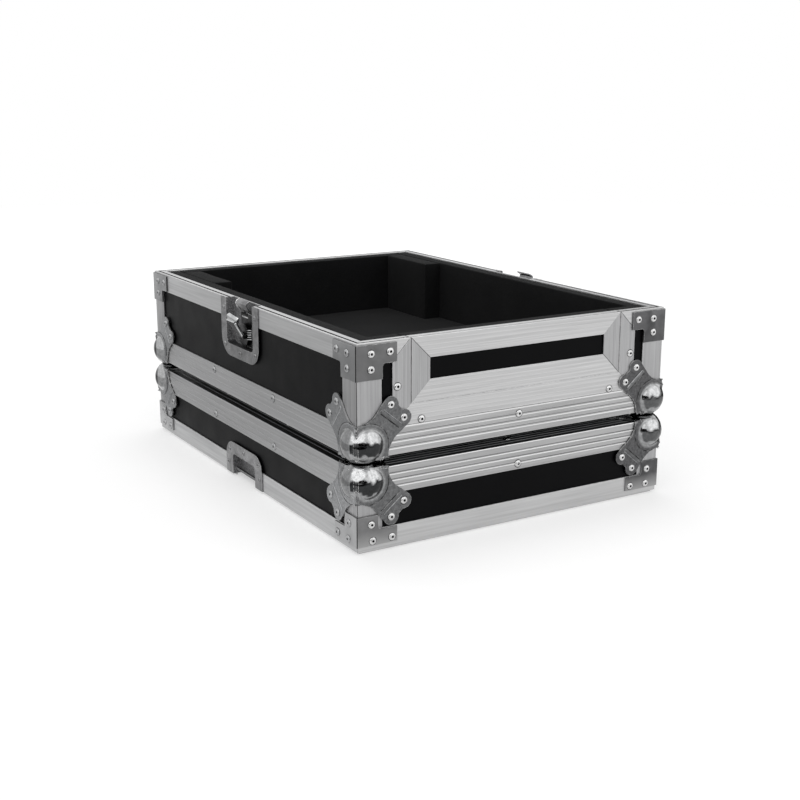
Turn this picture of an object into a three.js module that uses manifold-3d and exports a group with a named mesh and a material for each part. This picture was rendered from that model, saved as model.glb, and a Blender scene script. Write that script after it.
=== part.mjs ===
// A mixer flight case as it stands open: the deep base, with its lift-out front door, stands on the
// upturned face of its own shallow lid, and ball corners of the two halves meet in the gap between them.
// Millimetres, +X right, -Y front, +Z up. The origin is at the bottom centre.
import * as THREE from "three";
import { mergeVertices } from "three/addons/utils/BufferGeometryUtils.js";
import Module from "manifold-3d";

const wasm = await Module();
wasm.setup();

// Driving dimensions of the case.
const caseWidth = 408;
const caseDepth = 570;
const lidHeight = 89; // from the lid's rim face to its outer top
const baseHeight = 122; // from the base's rim face to its underside
const bedThickness = 31.9; // foam that the mixer stands on

// Clearances shared by every piece.
const fitGap = 0.3; // between pieces that are glued or riveted together
const runGap = 0.4; // between pieces that slide
const overrun = 5; // how far a cut runs past the face that it opens

// Boards and aluminium profiles.
const panelThickness = 9;
const profileWall = 1.5;
const innerFlangeWall = 1.2;
const edgingLeg = 30;
const angleLeg = 29.5;
const rimFlange = 23.3; // outer flange of the closing profile
const rimInnerFlange = 16;
const ribHeight = 0.5;
const ribWidth = 1.2;
const ribShares = [0.3, 0.53, 0.76, 0.96]; // rib places along the edging's leg

// Tongue and groove of the closing profiles.
const tongueHeight = 2.5;
const tongueWidth = 2;
const tongueInset = 3.5;
const grooveDepth = 3.2;
const grooveFloor = 1.2;

// Lift-out front door.
const openingInset = 64.4; // from a side face of the case to the door opening
const surroundWidth = 22.1;
const surroundInnerFlange = 12;
const doorRail = 23.2;

// Pressed ball corners.
const ballRadius = 23;
const ballInset = 13; // from the side faces to the ball's centre
const ballRise = 14.5; // from the closed face to the ball's centre
const ballStandoff = 5.75; // from the closed face to the ball's flat
const ballSkin = 1.5;
const plateWall = 2;
const plateReach = 36.2;
const scallopCentre = 64;
const lobeNear = 39.5;
const lobeFar = 55;
const lobeRadius = 9;

// Flat corner brackets at the rims.
const bracketWall = 1.8;
const bracketArm = 47;
const bracketDrop = 39;
const bracketInnerRadius = 3;
const baseBracketTop = 2;
const baseBracketStem = 30;
const lidBracketTop = 5.9;
const lidBracketStem = 24;

// Foam lining.
const foamThickness = 17.9;
const foamDrop = 0.7; // foam tops lie this far under the rim
const blockWidth = 24.5; // rear corner blocks, beyond the side lining
const blockLength = 106.5;
const lidFoamThickness = 20;

// Recessed latches of the base and their keepers in the lid.
const dishWall = 1.2;
const dish = { width: 106.7, height: 70.5, radius: 24, recessWidth: 75, recessHeight: 55.5, recessRadius: 6 };
const keeper = { width: 105, height: 41.4, radius: 20, recessWidth: 65, recessHeight: 26.4, recessRadius: 5 };
const catchBarHeight = 3;
const catchBarDepth = 3;
const catchBarSetback = 5.5; // from the rim face to the bar
const catchBarInset = 2.5;
const rotorDrop = 40.5; // from the rim face to the rotor's axis
const rotorRadius = 13.8;
const rotorThickness = 3.5;
const camRadius = 6;
const camOffset = 3.5; // half of the hook's travel
const camPlay = 1.1;
const spindleRadius = 2.2;
const spindleHeadRadius = 4.5;
const spindleHeadThickness = 1.2;
const carriageThickness = 1.5;
const carriageMargin = 3;
const carriageFront = 33; // from the latch's centre line towards the front
const carriageTopShare = 0.36; // of the rotor's drop
const hookWidth = 28;
const hookOffset = 13.5; // the hook's centre line lies in front of the latch's
const hookThickness = 1.6;
const hookBulge = 4.5; // beyond the case's face
const hookRise = 4.8; // above the rim
const wingWidth = 22.4;
const wingLength = 20.5;
const wingThickness = 1.5;
const wingTipRadius = 1.6;
const wingTilt = 30; // degrees out of the vertical as the case stands
const knuckleRadius = 2.2;
const hingePinRadius = 1.2;
const hingeProud = 0.7; // the wing's pin lies this far outside the case's face
const earThickness = 2;

// Places that follow from the sizes above.
const halfWidth = caseWidth / 2;
const halfDepth = caseDepth / 2;
const panelOuter = profileWall + fitGap;
const panelInner = panelOuter + panelThickness;
const innerFlange = panelInner + fitGap;
const rimWidth = innerFlange + innerFlangeWall;
const foamOuter = rimWidth + fitGap;
const foamInner = foamOuter + foamThickness;
const grooveInset = tongueInset - fitGap;
const grooveWidth = tongueWidth + 2 * fitGap;
const webDepth = grooveDepth + grooveFloor;
const openingHalf = halfWidth - openingInset;
const openingDepth = baseHeight - edgingLeg - surroundWidth - fitGap;
const stackGap = 2 * ballStandoff;
const rimTop = tongueHeight + lidHeight + stackGap + baseHeight;

// Round surfaces are divided into this many steps.
const ballSegments = 16;
const ballRings = 10;
const arcSteps = 4;
const roundSteps = 16;
const curveSteps = 12;

// A closed geometry as a solid, with its faces turned outwards.
function solid(geometry) {
  const open = geometry.clone();
  open.deleteAttribute("normal");
  open.deleteAttribute("uv");
  const merged = mergeVertices(open);
  const vertProperties = new Float32Array(merged.attributes.position.array);
  const triVerts = new Uint32Array(merged.index.array);
  const made = new wasm.Manifold(new wasm.Mesh({ numProp: 3, vertProperties, triVerts }));
  if (made.volume() > 0) return made;
  triVerts.reverse();
  return new wasm.Manifold(new wasm.Mesh({ numProp: 3, vertProperties, triVerts }));
}

// A solid as a named mesh in its parent group.
function addPiece(parent, name, body, makeMaterial) {
  const { vertProperties, triVerts } = body.getMesh();
  const geometry = new THREE.BufferGeometry();
  geometry.setAttribute("position", new THREE.BufferAttribute(vertProperties, 3));
  geometry.setIndex(new THREE.BufferAttribute(triVerts, 1));
  geometry.computeVertexNormals();
  const mesh = new THREE.Mesh(geometry, makeMaterial());
  mesh.name = name;
  parent.add(mesh);
  return mesh;
}

// A box between two opposite corners.
function box([x0, y0, z0], [x1, y1, z1]) {
  const unit = new THREE.BoxGeometry(1, 1, 1).translate(0.5, 0.5, 0.5);
  const place = new THREE.Matrix4().makeScale(x1 - x0, y1 - y0, z1 - z0).setPosition(x0, y0, z0);
  return solid(unit.applyMatrix4(place));
}

// A box that lies the same way on both sides of the case's centre line.
function centredBox(halfX, [y0, z0], [y1, z1]) {
  return box([-halfX, y0, z0], [halfX, y1, z1]);
}

// A cylinder from low to high along an axis, round a point given by its two other coordinates in order.
function cylinder(axis, radius, low, high, [a, b]) {
  const round = new THREE.CylinderGeometry(radius, radius, high - low, roundSteps);
  const middle = (low + high) / 2;
  if (axis === "x") round.rotateZ(Math.PI / 2).translate(middle, a, b);
  if (axis === "y") round.translate(a, middle, b);
  return solid(round);
}

// A flat shape in the directions u and v, thickened along w from low to high.
const axisX = new THREE.Vector3(1, 0, 0);
const axisY = new THREE.Vector3(0, 1, 0);
const axisZ = new THREE.Vector3(0, 0, 1);
function slab(shape, [u, v, w], low, high) {
  const flat = new THREE.ExtrudeGeometry(shape, {
    depth: high - low,
    bevelEnabled: false,
    curveSegments: arcSteps,
  });
  flat.translate(0, 0, low);
  return solid(flat.applyMatrix4(new THREE.Matrix4().makeBasis(u, v, w)));
}

// A ring that follows the four sides of the case between two insets and two heights.
function ring(inset0, inset1, z0, z1) {
  const outer = box(
    [inset0 - halfWidth, inset0 - halfDepth, z0],
    [halfWidth - inset0, halfDepth - inset0, z1],
  );
  const hole = box(
    [inset1 - halfWidth, inset1 - halfDepth, z0 - overrun],
    [halfWidth - inset1, halfDepth - inset1, z1 + overrun],
  );
  return outer.subtract(hole);
}

function joined(bodies) {
  return bodies.reduce((whole, body) => whole.add(body));
}

function without(body, cuts) {
  return cuts.reduce((rest, cut) => rest.subtract(cut), body);
}

// Materials: every mesh gets its own.
function material(color, roughness, metalness) {
  return () => new THREE.MeshStandardMaterial({ color, roughness, metalness });
}
const aluminium = material(0xb9babc, 0.38, 0.9);
const platedSteel = material(0x8f9092, 0.35, 1);
const chrome = material(0xc9cbce, 0.12, 1);
const laminate = material(0x1c1c1e, 0.45, 0);
const foam = material(0x17181a, 0.95, 0);
const darkSteel = material(0x2a2b2d, 0.5, 0.8);

// Each half is built rim upwards: its rim face is at height 0 and its closed face at -height.
const corners = [
  ["front_left", -1, -1],
  ["front_right", 1, -1],
  ["rear_left", -1, 1],
  ["rear_right", 1, 1],
];

// A group whose +X and +Y point into the case from one of its upright edges.
function cornerGroup(half, sideX, sideY) {
  const group = new THREE.Group();
  group.position.set(sideX * halfWidth, sideY * halfDepth, 0);
  group.scale.set(-sideX, -sideY, 1);
  half.add(group);
  return group;
}

// Ribbed edging round the closed face: an angle on all four sides, mitred into one frame.
function edging(height, ballCuts) {
  const closed = -height;
  const skin = closed + profileWall;
  const flat = ring(ribHeight, edgingLeg, closed + ribHeight, skin);
  const upright = ring(ribHeight, profileWall, closed + ribHeight, closed + edgingLeg);
  const edgeRib = ring(0, profileWall, closed, closed + ribWidth);
  const edgeStrip = ring(0, ribWidth, closed, skin);
  const ribs = ribShares.flatMap((share) => {
    const place = share * edgingLeg;
    const low = closed + place;
    return [ring(0, profileWall, low, low + ribWidth), ring(place, place + ribWidth, closed, skin)];
  });
  return without(joined([flat, upright, edgeRib, edgeStrip, ...ribs]), ballCuts);
}

// The closing profile along a rim: outer flange, grooved or tongued web and inner flange.
function closingProfile(grooved) {
  const outerFlange = ring(0, profileWall, -rimFlange, 0);
  const web = ring(0, rimWidth, -webDepth, 0);
  const inner = ring(innerFlange, rimWidth, -rimInnerFlange, 0);
  const profile = joined([outerFlange, web, inner]);
  if (grooved) return profile.subtract(ring(grooveInset, grooveInset + grooveWidth, -grooveDepth, overrun));
  return profile.add(ring(tongueInset, tongueInset + tongueWidth, -grooveFloor, tongueHeight));
}

// An upright angle at a corner, from the edging to the rim's flange.
function cornerAngle(height) {
  const low = edgingLeg - height;
  const alongX = box([0, 0, low], [angleLeg, profileWall, -rimFlange]);
  const alongY = box([0, 0, low], [profileWall, angleLeg, -rimFlange]);
  return alongX.add(alongY);
}

// The outline of a ball corner's plate on one face: scalloped sides and an arm with two rivet lobes.
function plateOutline() {
  const scallopRadius = scallopCentre - plateReach;
  const across = scallopCentre - lobeFar;
  const centres = Math.hypot(across, lobeNear);
  const lean = Math.atan2(lobeNear, -across) + Math.acos((scallopRadius + lobeRadius) / centres);
  const valley = Math.PI / 2 + Math.PI / 18;
  const shape = new THREE.Shape();
  shape.moveTo(-plateWall, -plateWall);
  shape.lineTo(plateReach, -plateWall);
  shape.absarc(scallopCentre, 0, scallopRadius, Math.PI, lean, true);
  shape.absarc(lobeFar, lobeNear, lobeRadius, lean - Math.PI, valley, false);
  shape.absarc(lobeNear, lobeFar, lobeRadius, Math.PI / 2 - valley, Math.PI * 1.5 - lean, false);
  shape.absarc(0, scallopCentre, scallopRadius, Math.PI / 2 - lean, -Math.PI / 2, true);
  shape.lineTo(-plateWall, plateReach);
  return shape;
}

function ball(radius, height) {
  const sphere = new THREE.SphereGeometry(radius, ballSegments, ballRings).rotateX(Math.PI / 2);
  return solid(sphere.translate(ballInset, ballInset, ballRise - height));
}

// The tip of the case's corner, which the ball's skin closes over.
function cornerTip(radius, height) {
  const tip = box([-overrun, -overrun, -height - overrun], [ballInset, ballInset, ballRise - height]);
  return tip.subtract(ball(radius, height));
}

// A ball corner in its corner group: a plate on each of three faces and the ball over the tip.
function ballCorner(height) {
  const outline = plateOutline();
  const plates = joined([
    slab(outline, [axisX, axisY, axisZ], -plateWall, 0).translate(0, 0, -height),
    slab(outline, [axisY, axisZ, axisX], -plateWall, 0).translate(0, 0, -height),
    slab(outline, [axisZ, axisX, axisY], -plateWall, 0).translate(0, 0, -height),
  ]);
  const reach = 2 * scallopCentre;
  const under = box([-reach, -reach, -height - reach], [reach, reach, -height - ballStandoff]);
  const corner = box([0, 0, -height], [reach, reach, reach]);
  const filled = corner.subtract(cornerTip(ballRadius - ballSkin, height));
  const trimmed = plates.subtract(cornerTip(ballRadius, height));
  return without(trimmed.add(ball(ballRadius, height)), [under, filled]);
}

// A flat bracket bent round a corner: an L on each of two faces, below the rim face.
function bracket(top, stem) {
  const armEnd = rimFlange - 2 * fitGap;
  const shape = new THREE.Shape();
  shape.moveTo(-bracketWall, -top);
  shape.lineTo(-bracketWall, -bracketDrop);
  shape.lineTo(stem, -bracketDrop);
  shape.absarc(stem + bracketInnerRadius, -armEnd - bracketInnerRadius, bracketInnerRadius,
    Math.PI, Math.PI / 2, true);
  shape.lineTo(bracketArm, -armEnd);
  shape.lineTo(bracketArm, -top);
  const onSide = slab(shape, [axisY, axisZ, axisX], -bracketWall, 0);
  const onFront = slab(shape, [axisX, axisZ, axisY], -bracketWall, 0);
  return onSide.add(onFront);
}

// An outline that hangs from the rim, with round lower corners.
function hangingOutline(width, height, radius, top) {
  const half = width / 2;
  const shape = new THREE.Shape();
  shape.moveTo(-half, top);
  shape.lineTo(-half, radius - height);
  shape.absarc(radius - half, radius - height, radius, Math.PI, Math.PI * 1.5, false);
  shape.absarc(half - radius, radius - height, radius, -Math.PI / 2, 0, false);
  shape.lineTo(half, top);
  return shape;
}

// Latch pieces lie in a group whose +X points into the case from its side face, at rim height.
const latchAxes = [axisY, axisZ, axisX];
const recessDepth = panelInner - fitGap - dishWall;

// A pressed plate with a recess that is open at the rim.
function recessedPlate(size) {
  const plate = slab(hangingOutline(size.width, size.height, size.radius, 0), latchAxes, -dishWall, 0);
  const tubOutline = hangingOutline(
    size.recessWidth + 2 * dishWall,
    size.recessHeight + dishWall,
    size.recessRadius + dishWall,
    0,
  );
  const hollowOutline = hangingOutline(size.recessWidth, size.recessHeight, size.recessRadius, overrun);
  const tub = slab(tubOutline, latchAxes, 0, recessDepth + dishWall);
  const hollow = slab(hollowOutline, latchAxes, -dishWall - overrun, recessDepth);
  return plate.add(tub).subtract(hollow);
}

// The cuts that let both recessed plates of a half into its side panels and rim, down to a depth.
function recessCuts(size, depth) {
  const grow = dishWall + fitGap;
  const outline = hangingOutline(
    size.recessWidth + 2 * grow,
    size.recessHeight + grow,
    size.recessRadius + grow,
    overrun + tongueHeight,
  );
  const left = slab(outline, latchAxes, -overrun, depth).translate(-halfWidth, 0, 0);
  return [left, left.mirror([1, 0, 0])];
}

// Both halves share their panels, profiles, angles, ball corners and brackets.
function buildHalf(half, name, height, grooved, plateSize, bracketTop, bracketStem) {
  const closedInner = panelInner - height;
  const wallLow = closedInner + fitGap;
  const wallHigh = -webDepth - fitGap;
  const sideHalf = halfDepth - panelOuter;
  const endHalf = halfWidth - panelInner - fitGap;
  const panelCuts = recessCuts(plateSize, rimWidth);
  const pieces = {};

  const closedPanel = box([panelOuter - halfWidth, -sideHalf, panelOuter - height],
    [halfWidth - panelOuter, sideHalf, closedInner]);
  const sidePanel = box([panelOuter - halfWidth, -sideHalf, wallLow],
    [panelInner - halfWidth, sideHalf, wallHigh]);
  const leftPanel = without(sidePanel, panelCuts);
  const rearPanel = centredBox(endHalf, [halfDepth - panelInner, wallLow],
    [halfDepth - panelOuter, wallHigh]);
  const closedName = grooved ? "floor" : "top";
  addPiece(half, `${name}_${closedName}_panel`, closedPanel, laminate);
  addPiece(half, `${name}_left_panel`, leftPanel, laminate);
  addPiece(half, `${name}_right_panel`, leftPanel.mirror([1, 0, 0]), laminate);
  addPiece(half, `${name}_rear_panel`, rearPanel, laminate);
  pieces.frontPanel = rearPanel.mirror([0, 1, 0]);
  pieces.rim = without(closingProfile(grooved), recessCuts(plateSize, panelInner));

  const tip = cornerTip(ballRadius - ballSkin - fitGap, height);
  const tips = corners.map(([, sideX, sideY]) => {
    const placed = tip.translate(-halfWidth, -halfDepth, 0);
    const turned = sideX > 0 ? placed.mirror([1, 0, 0]) : placed;
    return sideY > 0 ? turned.mirror([0, 1, 0]) : turned;
  });
  addPiece(half, `${name}_edging`, edging(height, tips), aluminium);

  const angle = cornerAngle(height);
  const cap = ballCorner(height);
  const cornerBracket = bracket(bracketTop, bracketStem);
  for (const [place, sideX, sideY] of corners) {
    const group = cornerGroup(half, sideX, sideY);
    addPiece(group, `${name}_angle_${place}`, angle, aluminium);
    addPiece(group, `${name}_ball_corner_${place}`, cap, chrome);
    addPiece(group, `${name}_bracket_${place}`, cornerBracket, platedSteel);
  }
  return pieces;
}

// The surround of the door opening: the closing profile again, in a U with mitred upper ends.
// Shapes on the front face use X and Z, and depths are measured inwards from that face.
const frontAxes = [axisX, axisZ, axisY];

function frontBox(halfX, [inset0, z0], [inset1, z1]) {
  return centredBox(halfX, [inset0 - halfDepth, z0], [inset1 - halfDepth, z1]);
}

function surroundOutline(grow) {
  const outer = openingHalf + surroundWidth + grow;
  const tipLow = -surroundWidth;
  const rise = grow * Math.SQRT2 + overrun;
  const low = -openingDepth - surroundWidth - grow;
  const shape = new THREE.Shape();
  shape.moveTo(-outer, low);
  shape.lineTo(outer, low);
  shape.lineTo(outer, tipLow + grow * (Math.SQRT2 - 1));
  shape.lineTo(openingHalf - overrun, rise);
  shape.lineTo(overrun - openingHalf, rise);
  shape.lineTo(-outer, tipLow + grow * (Math.SQRT2 - 1));
  return shape;
}

function doorSurround() {
  const flangeZone = slab(surroundOutline(0), frontAxes, -halfDepth, profileWall - halfDepth);
  const webHalf = openingHalf + webDepth;
  const flangeHalf = openingHalf + surroundInnerFlange;
  const webBehind = frontBox(webHalf, [panelOuter, -openingDepth - webDepth], [rimWidth, 0]);
  const webFront = frontBox(webHalf, [0, -openingDepth - webDepth], [panelOuter, 0]);
  const backFlange = frontBox(flangeHalf, [innerFlange, -openingDepth - surroundInnerFlange],
    [rimWidth, -rimInnerFlange - fitGap]);
  const trimmed = slab(surroundOutline(0), frontAxes, -halfDepth - overrun, rimWidth - halfDepth);
  const opening = frontBox(openingHalf, [-overrun, -openingDepth], [rimWidth + overrun, 2 * overrun]);
  const groove = frontBox(openingHalf + grooveDepth, [grooveInset, -openingDepth - grooveDepth],
    [grooveInset + grooveWidth, overrun]);
  const above = frontBox(openingHalf + surroundWidth, [-overrun, 0], [rimWidth + overrun, 2 * overrun]);
  const body = joined([flangeZone, webFront.intersect(trimmed), webBehind, backFlange]);
  return without(body, [opening, groove, above]);
}

// The door opening and the surround's seat, cut out of the base's rim and front panel.
function openRim(rim) {
  const flangeCut = slab(surroundOutline(fitGap), frontAxes, -halfDepth - overrun, profileWall - halfDepth);
  const seatHalf = openingHalf + webDepth + fitGap;
  const webCut = frontBox(seatHalf, [profileWall, -baseHeight], [rimWidth + overrun, overrun]);
  return without(rim, [flangeCut, webCut]);
}

function openFrontPanel(panel) {
  const seatHalf = openingHalf + webDepth + fitGap;
  const seatLow = -openingDepth - webDepth - fitGap;
  return panel.subtract(frontBox(seatHalf, [-overrun, seatLow], [rimWidth, overrun]));
}

// The door: a frame whose tongues run in the surround's grooves, its panel and its foam.
const doorHalf = openingHalf - runGap;
const doorLow = fitGap - openingDepth;

function doorFrame() {
  const flange = frontBox(doorHalf, [0, doorLow], [profileWall, 0]);
  const flangeWindow = frontBox(doorHalf - doorRail, [-overrun, doorLow + doorRail],
    [profileWall + overrun, -doorRail]);
  const web = frontBox(doorHalf, [0, doorLow], [rimWidth, 0]);
  const seat = frontBox(doorHalf - webDepth, [-overrun, doorLow + webDepth], [rimWidth + overrun, -webDepth]);
  const back = frontBox(doorHalf, [innerFlange, doorLow], [rimWidth, 0]);
  const backWindow = frontBox(doorHalf - rimInnerFlange, [0, doorLow + rimInnerFlange],
    [rimWidth + overrun, -rimInnerFlange]);
  const reach = tongueHeight + fitGap;
  const tongues = frontBox(doorHalf + reach, [tongueInset, doorLow - tongueHeight],
    [tongueInset + tongueWidth, -grooveDepth]);
  const groove = frontBox(doorHalf + overrun, [grooveInset, -grooveDepth],
    [grooveInset + grooveWidth, overrun]);
  const rails = joined([flange.subtract(flangeWindow), web.subtract(seat), back.subtract(backWindow)]);
  return rails.add(tongues.subtract(seat)).subtract(groove);
}

function doorPanel() {
  const inset = webDepth + fitGap;
  return frontBox(doorHalf - inset, [panelOuter, doorLow + inset], [panelInner, -inset]);
}

// Foam: a bed on the floor, and round it linings along the walls and two blocks for the mixer's rear corners.
const foamFloor = panelInner + fitGap - baseHeight;
const bedTop = foamFloor + bedThickness;
const bedInset = foamInner + fitGap;
const returnHalf = openingHalf + runGap;

function cornerBlock() {
  return box([bedInset - halfWidth, halfDepth - bedInset - blockLength, foamFloor],
    [bedInset + blockWidth - halfWidth, halfDepth - bedInset, -foamDrop]);
}

// The bed's front edge rises under the door as a sill.
function foamBed() {
  const bed = box([bedInset - halfWidth, bedInset - halfDepth, foamFloor],
    [halfWidth - bedInset, halfDepth - bedInset, bedTop]);
  const apron = frontBox(openingHalf, [foamOuter, foamFloor], [bedInset + overrun, bedTop]);
  const sill = frontBox(openingHalf, [foamOuter, foamFloor], [bedInset, -openingDepth - runGap]);
  const notch = box(
    [-halfWidth, halfDepth - bedInset - blockLength - fitGap, foamFloor - overrun],
    [bedInset + blockWidth + fitGap - halfWidth, halfDepth, bedTop + overrun],
  );
  return without(joined([bed, apron, sill]), [notch, notch.mirror([1, 0, 0])]);
}

function sideLining() {
  const along = box([foamOuter - halfWidth, foamOuter - halfDepth, foamFloor],
    [foamInner - halfWidth, halfDepth - foamOuter, -foamDrop]);
  const turn = box([foamOuter - halfWidth, foamOuter - halfDepth, foamFloor],
    [-returnHalf, foamInner - halfDepth, -foamDrop]);
  return along.add(turn);
}

function rearLining() {
  return centredBox(halfWidth - bedInset, [halfDepth - foamInner, foamFloor],
    [halfDepth - foamOuter, -foamDrop]);
}

function doorFoam() {
  return frontBox(doorHalf, [foamOuter, fitGap - openingDepth], [foamInner, -foamDrop]);
}

// Latch depths, from the case's side face inwards.
const carriageBack = recessDepth - fitGap;
const carriageFace = carriageBack - carriageThickness;
const rotorBack = carriageFace - fitGap;
const rotorFace = rotorBack - rotorThickness;
const camHigh = -rotorDrop - camOffset; // height of the cam's centre while the hook is down

function latchDish() {
  const hole = cylinder("x", spindleRadius + fitGap, carriageBack, panelInner + overrun, [0, -rotorDrop]);
  return recessedPlate(dish).subtract(hole);
}

// The hook's strip in X and Z: out of the carriage, past the case's face and back over the rim.
function hookOutline(carriageTop) {
  const middle = (carriageBack + carriageFace) / 2;
  const reach = -carriageTop;
  const line = new THREE.CatmullRomCurve3([
    new THREE.Vector3(middle, carriageTop - hookThickness, 0),
    new THREE.Vector3(middle, carriageTop + hookThickness / 2, 0),
    new THREE.Vector3(0, -reach / 2, 0),
    new THREE.Vector3(hookThickness / 2 - hookBulge, 0, 0),
    new THREE.Vector3(hookThickness, hookRise - hookThickness / 2, 0),
  ]);
  const spots = line.getPoints(curveSteps);
  const offsets = [-hookThickness / 2, hookThickness / 2].map((offset) =>
    spots.map((spot, index) => {
      const along = line.getTangent(index / curveSteps);
      return new THREE.Vector2(spot.x - along.y * offset, spot.y + along.x * offset);
    }),
  );
  return new THREE.Shape([...offsets[0], ...offsets[1].reverse()]);
}

function latchHook() {
  const top = -rotorDrop * carriageTopShare;
  const windowHalf = camRadius + camOffset + fitGap;
  const low = camHigh - camRadius - camPlay - carriageMargin;
  const plate = box([carriageFace, -carriageFront, low], [carriageBack, windowHalf + carriageMargin, top]);
  const opening = box([carriageFace - overrun, -windowHalf, camHigh - camRadius - camPlay],
    [carriageBack + overrun, windowHalf, camHigh + camRadius + camPlay]);
  const strip = slab(hookOutline(top), [axisX, axisZ, axisY],
    -hookOffset - hookWidth / 2, hookWidth / 2 - hookOffset);
  return plate.subtract(opening).add(strip);
}

// The rotor turns about X. Its cam moves the hook's carriage, and its ears hold the wing's pin.
function latchRotor() {
  const earOuter = wingWidth / 2 + fitGap + earThickness;
  const earHalf = 2 * hingePinRadius;
  const ear = box([-hingeProud, wingWidth / 2 + fitGap, -earHalf], [rotorBack, earOuter, earHalf])
    .add(cylinder("y", earHalf, wingWidth / 2 + fitGap, earOuter, [-hingeProud, 0]));
  const headFace = recessDepth + dishWall + fitGap;
  const body = joined([
    cylinder("x", rotorRadius, rotorFace, rotorBack, [0, 0]),
    cylinder("x", camRadius, rotorFace, carriageBack, [0, -camOffset]),
    cylinder("x", spindleRadius, rotorFace, headFace + spindleHeadThickness, [0, 0]),
    cylinder("x", spindleHeadRadius, headFace, headFace + spindleHeadThickness, [0, 0]),
    cylinder("y", hingePinRadius, -earOuter, earOuter, [-hingeProud, 0]),
    ear,
    ear.mirror([0, 1, 0]),
  ]);
  return body.translate(0, 0, -rotorDrop);
}

// The folding wing, upright on its pin.
function latchWing() {
  const half = wingWidth / 2;
  const bore = cylinder("y", hingePinRadius + fitGap, -half - overrun, half + overrun, [0, 0]);
  const flap = box([-wingThickness / 2, -half, 0], [wingThickness / 2, half, wingLength]);
  const tip = cylinder("y", wingTipRadius, -half, half, [0, wingLength]);
  const knuckle = cylinder("y", knuckleRadius, -half, half, [0, 0]);
  return joined([flap, tip, knuckle]).subtract(bore);
}

function lidKeeper() {
  const half = keeper.recessWidth / 2 + dishWall / 2;
  const bar = box([catchBarInset, -half, -catchBarSetback - catchBarHeight],
    [catchBarInset + catchBarDepth, half, -catchBarSetback]);
  return recessedPlate(keeper).add(bar);
}

// The lid stands rim downwards, so its half is turned over.
const lid = new THREE.Group();
lid.position.z = tongueHeight;
lid.scale.z = -1;
const lidPieces = buildHalf(lid, "lid", lidHeight, false, keeper, lidBracketTop, lidBracketStem);
addPiece(lid, "lid_rim", lidPieces.rim, aluminium);
addPiece(lid, "lid_front_panel", lidPieces.frontPanel, laminate);
const lidFoamLow = panelInner + fitGap - lidHeight;
const lidFoam = box([foamOuter - halfWidth, foamOuter - halfDepth, lidFoamLow],
  [halfWidth - foamOuter, halfDepth - foamOuter, lidFoamLow + lidFoamThickness]);
addPiece(lid, "lid_foam", lidFoam, foam);

const base = new THREE.Group();
base.position.z = rimTop;
const basePieces = buildHalf(base, "base", baseHeight, true, dish, baseBracketTop, baseBracketStem);
addPiece(base, "base_rim", openRim(basePieces.rim), aluminium);
addPiece(base, "base_front_panel", openFrontPanel(basePieces.frontPanel), laminate);
addPiece(base, "door_surround", doorSurround(), aluminium);
addPiece(base, "foam_bed", foamBed(), foam);
addPiece(base, "foam_left_lining", sideLining(), foam);
addPiece(base, "foam_right_lining", sideLining().mirror([1, 0, 0]), foam);
addPiece(base, "foam_rear_lining", rearLining(), foam);
addPiece(base, "foam_rear_left_block", cornerBlock(), foam);
addPiece(base, "foam_rear_right_block", cornerBlock().mirror([1, 0, 0]), foam);

const door = new THREE.Group();
base.add(door);
addPiece(door, "door_frame", doorFrame(), aluminium);
addPiece(door, "door_panel", doorPanel(), laminate);
addPiece(door, "door_foam", doorFoam(), foam);

for (const [side, sideX] of [["left", -1], ["right", 1]]) {
  const latch = new THREE.Group();
  latch.position.x = sideX * halfWidth;
  latch.scale.x = -sideX;
  base.add(latch);
  addPiece(latch, `latch_dish_${side}`, latchDish(), platedSteel);
  addPiece(latch, `latch_hook_${side}`, latchHook(), platedSteel);
  addPiece(latch, `latch_rotor_${side}`, latchRotor(), darkSteel);
  const wing = addPiece(latch, `latch_wing_${side}`, latchWing(), platedSteel);
  wing.position.set(-hingeProud, 0, -rotorDrop);
  wing.rotation.y = -THREE.MathUtils.degToRad(wingTilt);

  const catchPlace = new THREE.Group();
  catchPlace.position.x = sideX * halfWidth;
  catchPlace.scale.x = -sideX;
  lid.add(catchPlace);
  addPiece(catchPlace, `lid_keeper_${side}`, lidKeeper(), platedSteel);
}

const flightCase = new THREE.Group();
flightCase.add(lid, base);
export default flightCase;
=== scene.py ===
# Looks of a mixer flight case that stands open on its own lid. Metres, +X right, -Y front, +Z up.
import math

import bmesh
import bpy
from mathutils import Matrix, Vector, noise


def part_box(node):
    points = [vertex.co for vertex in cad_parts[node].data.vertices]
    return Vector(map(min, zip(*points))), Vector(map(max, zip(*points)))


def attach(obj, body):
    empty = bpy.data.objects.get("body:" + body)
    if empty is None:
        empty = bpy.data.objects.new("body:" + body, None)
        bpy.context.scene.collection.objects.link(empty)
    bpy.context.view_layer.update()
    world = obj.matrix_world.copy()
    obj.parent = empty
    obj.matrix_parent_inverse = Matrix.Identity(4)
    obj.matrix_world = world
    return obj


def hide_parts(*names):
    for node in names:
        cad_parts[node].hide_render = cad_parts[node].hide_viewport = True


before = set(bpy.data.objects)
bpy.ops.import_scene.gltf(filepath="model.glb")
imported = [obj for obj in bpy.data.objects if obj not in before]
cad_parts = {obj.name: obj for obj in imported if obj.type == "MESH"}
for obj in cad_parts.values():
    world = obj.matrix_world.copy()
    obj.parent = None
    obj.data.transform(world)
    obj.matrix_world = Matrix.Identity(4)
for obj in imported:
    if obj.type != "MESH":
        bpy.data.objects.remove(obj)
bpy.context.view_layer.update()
print("frame loaded")

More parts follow.
